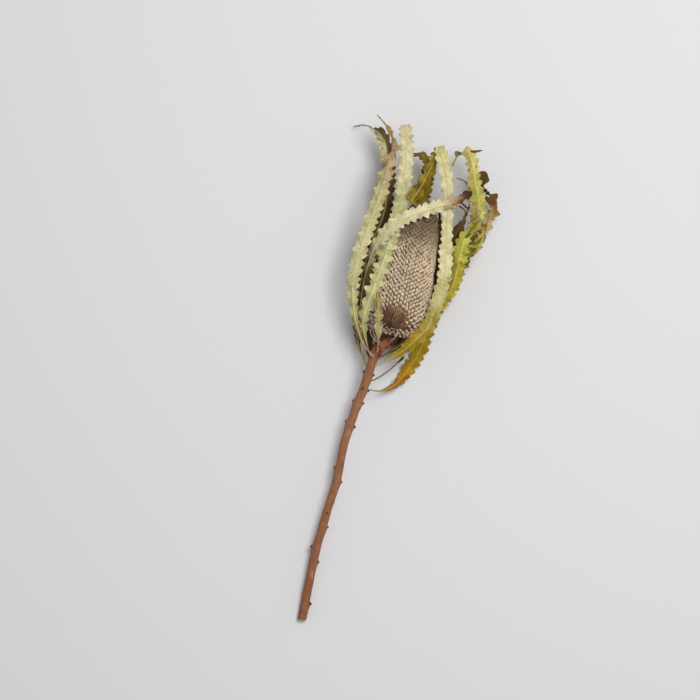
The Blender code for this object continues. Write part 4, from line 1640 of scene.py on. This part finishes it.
@dataclass
class WitheredFlowers:
    """The dry strands at the neck: a fringe all round, a fan at the front, and cream curls.

    A fan is the foot of its strands on the page and their tips. A row of a curl is (u, v, lift over
    the spike), and one of a ribbon is (u, v, z).
    """

    spike: FlowerSpike = field(default_factory=FlowerSpike)
    fringe: int = 96
    fan_strands: int = 5
    ribbon_half: float = 0.85
    fringe_heights: Sequence[float] = (-4.2, -3.2, -1.6, 0.2)
    fringe_lifts: tuple[float, float] = (1.2, 2.9)
    fringe_roots: tuple[float, float] = (4.2, 6.4)
    fringe_reach: tuple[float, float] = (1.5, 5.0)
    longest: float = 9.0
    fringe_rings: int = 14
    fringe_half: tuple[float, float] = (0.32, 0.62)
    longest_at: float = math.radians(140)
    fan_rings: int = 12
    fan_half: tuple[float, float] = (0.3, 0.58)
    fan_shares: Sequence[float] = (0.3, 0.65, 1.0)
    ribbon_rings: int = 26
    strand_sides: int = 6
    seed: int = 12
    fans: Sequence[tuple[tuple[float, float], Sequence[tuple[float, float]]]] = (
        ((1.6, 7.2), (
            (-2.8, 17.5), (-0.6, 20.2), (1.6, 21.2), (3.6, 20.6), (6.0, 19.8), (8.4, 19.4),
            (11.0, 18.9), (13.2, 17.9), (14.9, 16.6), (14.1, 13.4), (10.4, 10.4), (-4.4, 15.0))),
        ((4.6, 6.2), (
            (12.4, 9.6), (15.4, 8.0), (18.2, 6.4), (20.4, 4.4), (16.4, 5.4), (12.0, 5.0))))
    curls: Sequence[Sequence[tuple[float, float, float]]] = (
        ((4.0, 5.2, 3.0), (10.5, 3.6, 3.2), (15.8, 2.0, 3.4), (20.0, 2.2, 3.6), (22.6, 4.2, 3.4)),
        ((6.4, 6.8, 3.0), (9.0, 4.0, 3.8), (8.4, -0.4, 4.2), (5.6, -3.2, 3.0), (3.6, -4.6, 1.6)),
        ((-13.6, 5.8, 3.4), (-12.0, 9.4, 4.0), (-10.2, 8.6, 3.6), (-11.2, 5.2, 3.2),
         (-9.6, 0.4, 2.4), (-7.0, -3.6, 1.6)),
        ((-4.6, 7.6, 3.4), (-2.8, 10.2, 4.0), (-0.6, 9.2, 3.2), (-2.2, 6.8, 2.8)))
    ribbons: Sequence[Sequence[tuple[float, float, float]]] = (
        ((-16.4, 5.6, 33), (-14.6, 7.6, 35), (-11.6, 7.4, 35), (-10.4, 5.6, 34), (-12.4, 4.4, 33)),
        ((-12.6, 4.6, 34), (-12.2, 1.4, 33.5), (-10.2, -2.2, 32), (-7.0, -5.6, 29.5)),
        ((-18.2, -4.4, 33), (-16.4, -8.8, 32.5), (-13.0, -13.6, 31), (-9.6, -17.0, 28)))

    def add_fringe(self, shape: Shape, draw: np.random.Generator) -> None:
        """Adds the strands that stand round the neck and lie up the spike.

        Args:
            shape: The withered flowers' shape.
            draw: Source of their differences.
        """
        base, axis, right, up, length = self.spike.frame_of()
        for number in range(self.fringe):
            turn = 2 * math.pi * (number + draw.uniform(-0.6, 0.6)) / self.fringe
            left = max(0.0, math.cos(turn - self.longest_at))
            reach = draw.uniform(*self.fringe_reach)
            reach += self.longest * left**2 * draw.uniform(0.2, 1.0)
            lift = draw.uniform(*self.fringe_lifts)
            root = draw.uniform(*self.fringe_roots)
            heights = [*self.fringe_heights, reach * 0.5, reach]
            middle, end = self.spike.radii(np.array(heights[-2:]) / length)
            outs = (root, root + 2.4, 10.5 + lift * 0.4, 14.2 + lift * 0.5,
                    middle + lift * 0.9, end + lift * 1.1)
            turns = turn + np.cumsum(draw.normal(0, 0.02, len(outs)))
            rows = [base + axis * height + (right * math.cos(at) + up * math.sin(at)) * out
                    for height, out, at in zip(heights, outs, turns)]
            path = smooth_path(rows, self.fringe_rings)
            half = draw.uniform(*self.fringe_half)
            run = np.linspace(0, 1, self.fringe_rings)
            wide = half * (1.15 - 0.85 * run**2)
            kind = np.array([StrandKind.STYLE.value, draw.uniform(0, 1), 0])
            twist = draw.uniform(-1, 1) + run * 1.5
            shape.tube(path, wide, wide * 0.45, self.strand_sides, kind, twist)

    def add_fan(self, shape: Shape, draw: np.random.Generator) -> None:
        """Adds the fans that are spread over the front of the spike.

        Args:
            shape: The withered flowers' shape.
            draw: Source of their differences.
        """
        spread = [(foot, tip) for foot, tips in self.fans for tip in tips]
        for foot, tip in spread:
            low = self.spike.cover(*foot, 1.6)
            for _ in range(self.fan_strands):
                end = np.array(tip) + draw.normal(0, 0.95, 2)
                root = np.array(foot) + draw.normal(0, 0.6, 2)
                rows = [low + (root[0] - low[0], root[1] - low[1], draw.uniform(-2, 0))]
                for share in self.fan_shares:
                    at = root + (end - root) * share
                    lift = 3.3 + 1.9 * math.sin(share * math.pi) * draw.uniform(0.3, 1.2)
                    rows.append(self.spike.cover(*at, lift))
                path = smooth_path(rows, self.fan_rings)
                run = np.linspace(0, 1, self.fan_rings)
                wide = draw.uniform(*self.fan_half) * (0.7 + 0.6 * run - run**4)
                kind = np.array([StrandKind.STYLE.value, draw.uniform(0, 1) ** 1.5, 0])
                shape.tube(path, wide, wide * 0.4, self.strand_sides, kind, draw.uniform(-0.8, 0.8))

    def add_curls(self, shape: Shape) -> None:
        """Adds the papery cream ribbons.

        Args:
            shape: The withered flowers' shape.
        """
        lifted = [[self.spike.cover(u, v, lift) for u, v, lift in curl] for curl in self.curls]
        for rows in [*lifted, *self.ribbons]:
            path = smooth_path(rows, self.ribbon_rings)
            run = np.linspace(0, 1, self.ribbon_rings)
            wide = self.ribbon_half * np.sin(math.pi * np.clip(run * 0.9 + 0.08, 0, 1)) + 0.12
            kind = np.array([StrandKind.BRACT.value, 0.5, 0])
            shape.tube(path, wide, wide * 0.25 + 0.05, 8, kind, 0.5 + 1.2 * np.sin(run * 4.0))

    def build(self) -> bpy.types.Object:
        """Makes the withered flowers.

        Returns:
            The piece.
        """
        shape = Shape()
        draw = np.random.default_rng(self.seed)
        self.add_fringe(shape, draw)
        self.add_fan(shape, draw)
        self.add_curls(shape)
        return shape.piece("withered_strands_fan", WitheredFinish().paint("withered_finish"),
                           "withered_flowers", "withered_strands")


@dataclass
class BareStalk:
    """The stalk of a leaf that has lost its blade."""

    below_top: float = 44.0
    side: float = 95.0
    path: Sequence[tuple[float, float, float]] = ((1, -29, 17.5), (9, -22, 17), (14, -17.5, 18.5))
    half: float = 0.56
    end_half: float = 0.95
    root_sink: float = 1.9
    knob_from: float = 0.78
    foot_swell: float = 0.5
    foot_run: float = 0.03
    rings: int = 48
    sides: int = 12

    def build(self) -> bpy.types.Object:
        """Makes the stalk.

        Returns:
            The piece.
        """
        start, out = stem_point(self.below_top, self.side, ROOT_GAP)
        rows = (start - out * self.root_sink, start, start + out * ROOT_RUN + ROOT_LEAN, *self.path)
        path = smooth_path(rows, self.rings)
        run = np.linspace(0, 1, self.rings)
        swell = np.clip((run - self.knob_from) / 0.1, 0, 1) * np.clip((1.02 - run) / 0.05, 0.2, 1)
        foot = self.foot_swell * np.exp(-run / self.foot_run)
        half = self.half + (self.end_half - self.half) * swell + foot
        half *= 1 + 0.06 * np.sin(run * 70)
        shape = Shape()
        shape.tube(path, half, half * 0.85, self.sides, np.zeros(3))
        return shape.piece(
            "bare_stalk_skin", StalkFinish().paint("stalk_finish"), "bare_stalk", "dead_stalk")


LEAVES = (
    Leaf("leaf_left", 33, -75, (
        (-18, -8, 27, -25), (-23, 8, 31, -20), (-26, 27, 34, -15), (-26, 39, 36, -10),
        (-23, 57, 39, -8), (-15, 82, 42, -10), (-6, 106, 44, -18), (2, 133, 44, -40),
        (6, 147, 43, -62), (4, 156, 42, -70), (-1, 165, 40, -60), (-7, 172, 38, -50)),
        tip=0.2, thin=0.6, bare_from=0.93, pitch=6.2, seed=21),
    Leaf("leaf_tall", 26, -40, (
        (-17.2, 3, 32.6, -30), (-17.6, 14, 37.2, -34), (-14, 26, 40, -36), (-9, 39, 42, -34),
        (-2, 58, 43.5, -28), (3, 75, 43.5, -20), (9, 93, 42.5, -8), (12, 104, 42.5, 0),
        (15, 129, 43, 5), (16, 147, 44, 5), (15, 164, 45, 0)),
        pitch=5.0, tip=0.85, growth=0.22, seed=22,
        swell=((0, 1), (0.2, 1.2), (0.45, 1.2), (0.6, 1.05), (1, 1))),
    Leaf("leaf_crossing", 29, -105, (
        (-19, 2, 20, -40), (-20, 18, 22, -50), (-18, 36, 26, -60), (-14, 54, 33, -60),
        (-8, 70, 41, -45), (2, 82, 49, -25), (15, 91, 52, -8), (34, 98, 51, 0), (54, 104, 48.5, 5),
        (67, 111, 45, 15)),
        seed=23,
        tatters=(
            Tatter(0.91, 0.9, Face.OUTER, ((62, 106, 46.5, 0), (64.5, 103.5, 46, 25),
                (67.5, 100.5, 45, -30), (71, 98.5, 43.5, 30), (73.6, 95.6, 42.5, -25),
                (71, 92, 41.5, 20), (67.5, 90, 40.5, -25), (63.5, 86, 39.5, 0))),
            Tatter(0.95, 0.9, Face.OUTER, ((57, 104.5, 47, 0), (60.5, 101.5, 45, 40),
                (63.5, 99, 43, 10), (66.5, 99.5, 42, 50))))),
    Leaf("leaf_short", 21, 5, (
        (-6, -4, 35, 0), (-6, 5, 46, -10), (-6, 17, 53, -20), (-6.5, 34, 54.5, -25)),
        width=7.4, petiole=9, blade_from=15.0, growth=0.3, tip=0.3, seed=24),
    Leaf("leaf_folded", 31, 70, (
        (1, -20, 27, 20), (10, -14.5, 33, 15), (18, -8.5, 40, 12), (25, -2, 43.5, 12),
        (32, 6, 45, 10), (38, 20, 44, 10), (45, 43, 42, 15), (47, 67, 42, 12), (48, 94, 43, 5),
        (48, 114, 44, 0), (46, 130, 45, 0), (43.5, 139, 45.5, 0), (42, 145, 44, 0),
        (41.2, 147, 41, 0), (40.4, 145, 38, 0), (38.5, 139, 36.5, 0), (33.5, 128, 36.5, 0),
        (28, 117, 40.5, 0), (19.4, 104, 46, 0)),
        petiole=9, blade_from=9.0, growth=0.16, tip=1.2, keel=0.05, wave=0.4, pitch=5.4,
        depth=0.34, seed=25,
        swell=((0, 1), (0.44, 1), (0.52, 0.76), (0.6, 0.84), (0.7, 0.9), (0.76, 0.9), (0.785, 0.7),
               (0.81, 0.7), (0.85, 1), (1, 1))),
    Leaf("leaf_right", 24, 100, (
        (11, -8, 13, 180), (22, 1, 8, 180), (31, 10, 8.5, 185), (42, 24, 16, 190),
        (52, 38, 26, 195), (57, 57, 31, 195), (61, 74, 34, 185), (69, 86, 35, 165),
        (72.6, 102, 36, 170), (69.8, 118, 38, 180), (67.4, 133, 39, 190), (64, 143, 38, 225),
        (57, 141, 35, 255), (52, 132, 32, 265)),
        growth=0.22, tip=0.85, blade_from=9.0, seed=26,
        swell=((0, 1), (0.44, 1), (0.54, 1.25), (0.59, 0.9), (0.625, 0.6), (0.655, 1.0), (0.7, 1.2),
               (0.76, 1.1), (0.84, 0.85), (0.9, 1.0), (0.94, 1.05), (0.96, 0.6), (1, 0.3)),
        tatters=(
            Tatter(0.84, 1.5, Face.INNER, ((65.9, 79.6, 37, 0), (70.6, 82.3, 39.5, 20),
                (74.6, 83.5, 40.5, 40), (75.8, 79.8, 39, 30), (72.6, 75.5, 38, -20),
                (69.6, 75.1, 37, 20))),
            Tatter(0.84, 1.0, Face.INNER, ((68.2, 88, 38, 0), (72.9, 90.4, 40, 30),
                (76.8, 86.9, 40.5, 50), (78.7, 92.6, 40, 10))),
            Tatter(0.66, 1.5, Face.INNER, ((64.3, 69.8, 37, 0), (69.8, 69, 39, 30),
                (73.7, 70.9, 40, 45), (76, 75.6, 38.5, 0))),
            Tatter(0.9, 0.9, Face.INNER, ((69, 72.5, 39, 0), (72.5, 76, 41, 30), (71.5, 80, 41, 60),
                (68.5, 78, 40, 20))),
            Tatter(0.5, 1.4, Face.INNER, ((63, 63, 36, 0), (68.5, 64, 37, -30),
                (72.5, 67.5, 36, 20), (76, 69, 33, 40))),
            Tatter(0.2, 1.7, Face.INNER, ((62, 76, 35, 0), (66.5, 80, 37, 20),
                (69.5, 85, 38.6, -20), (72, 89.5, 39, 0))),
            Tatter(0.2, 1.2, Face.INNER, ((66, 66, 36, 0), (71, 72, 38, 20), (76.5, 80, 37, -20),
                (79.5, 86, 33, 0))),
            Tatter(0.12, 1.1, Face.INNER, ((66, 143.4, 38, 0), (70.6, 143.4, 38.5, 30),
                (75.4, 144.4, 37.5, 10))))),
    Leaf("leaf_outer", 52.5, 95, (
        (-8, -44, 15, 180), (0, -43, 11, 180), (9, -38, 7, 180), (17, -28, 3.5, 180),
        (25, -16, 2, 180), (29.5, -6, 1, 180), (33, 4, 0.4, 180), (38.5, 18, 0.4, 180),
        (46, 31, 1.5, 180), (53.5, 43, 5, 170), (62, 57, 10, 130), (72, 70.5, 14, 90),
        (79, 82, 17, 70), (83.5, 93, 19, 60), (85.5, 100.5, 21, 55), (84, 107, 24, 75),
        (79.5, 112, 25, 110), (76, 117, 25, 140), (76, 123, 26, 160), (78, 128, 27, 170)),
        growth=0.2, tip=0.8, pitch=6.2, lobe_from=0.915, lobe_half=6.6, seed=27,
        tatters=(
            Tatter(0.9, 1.9, Face.INNER, ((84, 100, 22, 0), (81, 105, 25, 20),
                (77.5, 108.5, 27, -20), (75.5, 112, 28, 0))),
            Tatter(0.9, 1.5, Face.INNER, ((86, 104, 22, 0), (83.5, 108.5, 24, 30),
                (80, 110.5, 26, 0))),
            Tatter(0.72, 4.2, Face.INNER, ((63.5, 60, 15, 0), (67.4, 68.2, 18, 15),
                (70.6, 76, 20, -15), (74.5, 82.5, 21, 10), (78.5, 89, 22, 0))),
            Tatter(0.66, 1.2, Face.INNER, ((70, 74, 27, 0), (74.5, 72, 30, 20),
                (77.5, 76.5, 31, 40), (76.5, 83, 30, 10))))),
    Leaf("leaf_behind_spike", 14, 120, (
        (4, -8, 17, 180), (12, -1, 8, 180), (22, 6, 4, 180), (31, 16, 4.5, 180), (38, 30, 9.5, 185),
        (43, 46, 16, 190), (48, 57, 19, 190), (52, 71, 23, 195), (56, 82, 26, 200),
        (61, 90, 28, 210), (62, 97, 29, 230), (57, 101, 29, 250)),
        width=9, tip=0.9, blade_from=4.0, growth=0.14, bare_from=0.88, bare_half=0.9, seed=28),
    Leaf("leaf_back_left", 37, -150, (
        (-21, -10, 10, 180), (-23, 6, 3, 180), (-22, 28, 0.4, 180), (-18, 50, 3, 180),
        (-10, 74, 10, 180), (-2, 94, 18, 180), (1, 112, 24, 180), (2, 130, 27, 178),
        (0, 148, 28, 170), (-4, 157, 26, 150), (-11, 162.5, 20, 120), (-18, 165, 12, 100),
        (-25, 164, 6, 90)),
        tip=1.0, bare_from=0.865, bare_half=0.6, rag=1.1, seed=29,
        tatters=(
            Tatter(0.8, 1.6, Face.OUTER, ((-1, 152, 28, 0), (-6, 156, 29, 40), (-10, 158.5, 28, 90),
                (-12.5, 163, 26, 60))),
            # The long strip by the neck takes this leaf's darkest inner colour: partly a dark back
            # leaf, partly painted shade in the hollow left of the neck.
            Tatter(0.34, 5.0, Face.INNER, ((-10, -17, 12, 0), (-13.5, -6, 9, 0), (-14.5, 6, 7, 0),
                (-12, 22, 6, 10), (-8.5, 39, 6, -8), (-5, 55, 8, 6), (-2, 70, 11, 0))))),
    Leaf("leaf_under", 30, 180, (
        (-8, -8, 10, 180), (-2, 8, 3, 180), (4, 22, 0.6, 180), (10, 38, 0.4, 180),
        (15, 54, 0.4, 180), (20, 70, 0.4, 180), (24, 86, 2, 180), (28, 102, 8, 180),
        (31, 118, 16, 180), (33, 130, 22, 200), (32, 137, 27, 240), (27, 141, 29, 260),
        (21, 141, 28, 265)),
        keel=0.0, wave=0.0, seed=30),
    Leaf("leaf_back_right", 19, 160, (
        (3, -4, 9, 180), (11, 7, 3, 180), (20, 20, 0.8, 180), (30, 36, 0.6, 180),
        (40, 52, 0.6, 180), (48, 66, 3, 180), (56, 80, 9, 180), (63, 94, 15, 180),
        (66, 105, 20, 185), (66, 113, 25, 200), (62, 120, 28, 230), (55, 123, 29, 250)),
        width=10, tip=0.8, blade_from=5.0, growth=0.12, bare_from=0.7, bare_half=0.6, seed=31,
        tatters=(
            # A dark brown torn strip under the folded leaf: partly this leaf's own brown, partly
            # painted shade in the gap beside the spike.
            Tatter(0.5, 3.6, Face.INNER, ((37, 38, 4, 0), (40.5, 54, 7, 15), (42.4, 70, 11, -10),
                (42.6, 86, 15, 10), (42, 96, 18, 0))),)),
)


@dataclass
class Studio:
    """The pale floor, the soft lights and the camera straight over the specimen."""

    floor_half: float = 4.0
    sky: float = 0.38
    key_power: float = 24.0
    key_size: float = 0.95
    key_place: tuple[float, float, float] = (520.0, 470.0, 1750.0)
    key_colour: tuple[float, float, float] = (1.0, 0.985, 0.965)
    sky_colour: Colour = (1.0, 1.0, 1.0, 1.0)
    lens: float = 300.0
    sensor: float = 36.0

    def build(self) -> None:
        """Makes the floor, the lights and the camera."""
        self.build_floor()
        self.build_lights()
        self.build_camera()

    def build_floor(self) -> None:
        """Makes the floor."""
        mesh = bpy.data.meshes.new("floor")
        half = self.floor_half
        corners = [(-half, -half, 0), (half, -half, 0), (half, half, 0), (-half, half, 0)]
        mesh.from_pydata(corners, [], [(0, 1, 2, 3)])
        mesh.materials.append(FloorFinish().paint("floor_finish"))
        floor = bpy.data.objects.new("floor", mesh)
        bpy.context.scene.collection.objects.link(floor)

    def build_lights(self) -> None:
        """Makes an even sky, and a large soft light from the upper right."""
        world = bpy.data.worlds.new("sky")
        world.use_nodes = True
        sky = world.node_tree.nodes["Background"]
        sky.inputs["Color"].default_value = self.sky_colour
        sky.inputs["Strength"].default_value = self.sky
        bpy.context.scene.world = world
        light = bpy.data.lights.new("window", "AREA")
        light.shape = "DISK"
        light.size = self.key_size
        light.energy = self.key_power
        light.color = self.key_colour
        lamp = bpy.data.objects.new("window", light)
        place = on_floor(np.array([self.key_place]))[0]
        lamp.location = place
        aim = Vector(on_floor(np.array([(0.0, 0.0, 0.0)]))[0]) - Vector(place)
        lamp.rotation_mode = "QUATERNION"
        lamp.rotation_quaternion = aim.to_track_quat("-Z", "Y")
        bpy.context.scene.collection.objects.link(lamp)

    def build_camera(self) -> None:
        """Makes the camera, far off so that height hardly moves things on the page."""
        data = bpy.data.cameras.new("overhead")
        data.lens = self.lens
        data.sensor_width = self.sensor
        data.dof.use_dof = False
        camera = bpy.data.objects.new("overhead", data)
        far = FOCUS_HEIGHT + PAGE_ACROSS * self.lens / self.sensor
        camera.location = on_floor(np.array([(*PAGE_CENTRE, far)]))[0]
        camera.rotation_euler = (0.0, 0.0, PAGE_TURN)
        bpy.context.scene.collection.objects.link(camera)
        bpy.context.scene.camera = camera


def main() -> None:
    """Builds every piece of the specimen and the studio round it."""
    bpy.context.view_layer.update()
    bpy.context.scene.view_settings.view_transform = "Standard"
    Studio().build()
    for part in (Stem(), FlowerSpike(), WitheredFlowers(), BareStalk(), *LEAVES):
        piece = part.build()
        log.info("%s: %d faces", piece.name, len(piece.data.polygons))


if __name__ == "__main__":
    logging.basicConfig(level=logging.INFO, format="%(name)s %(message)s")
    main()
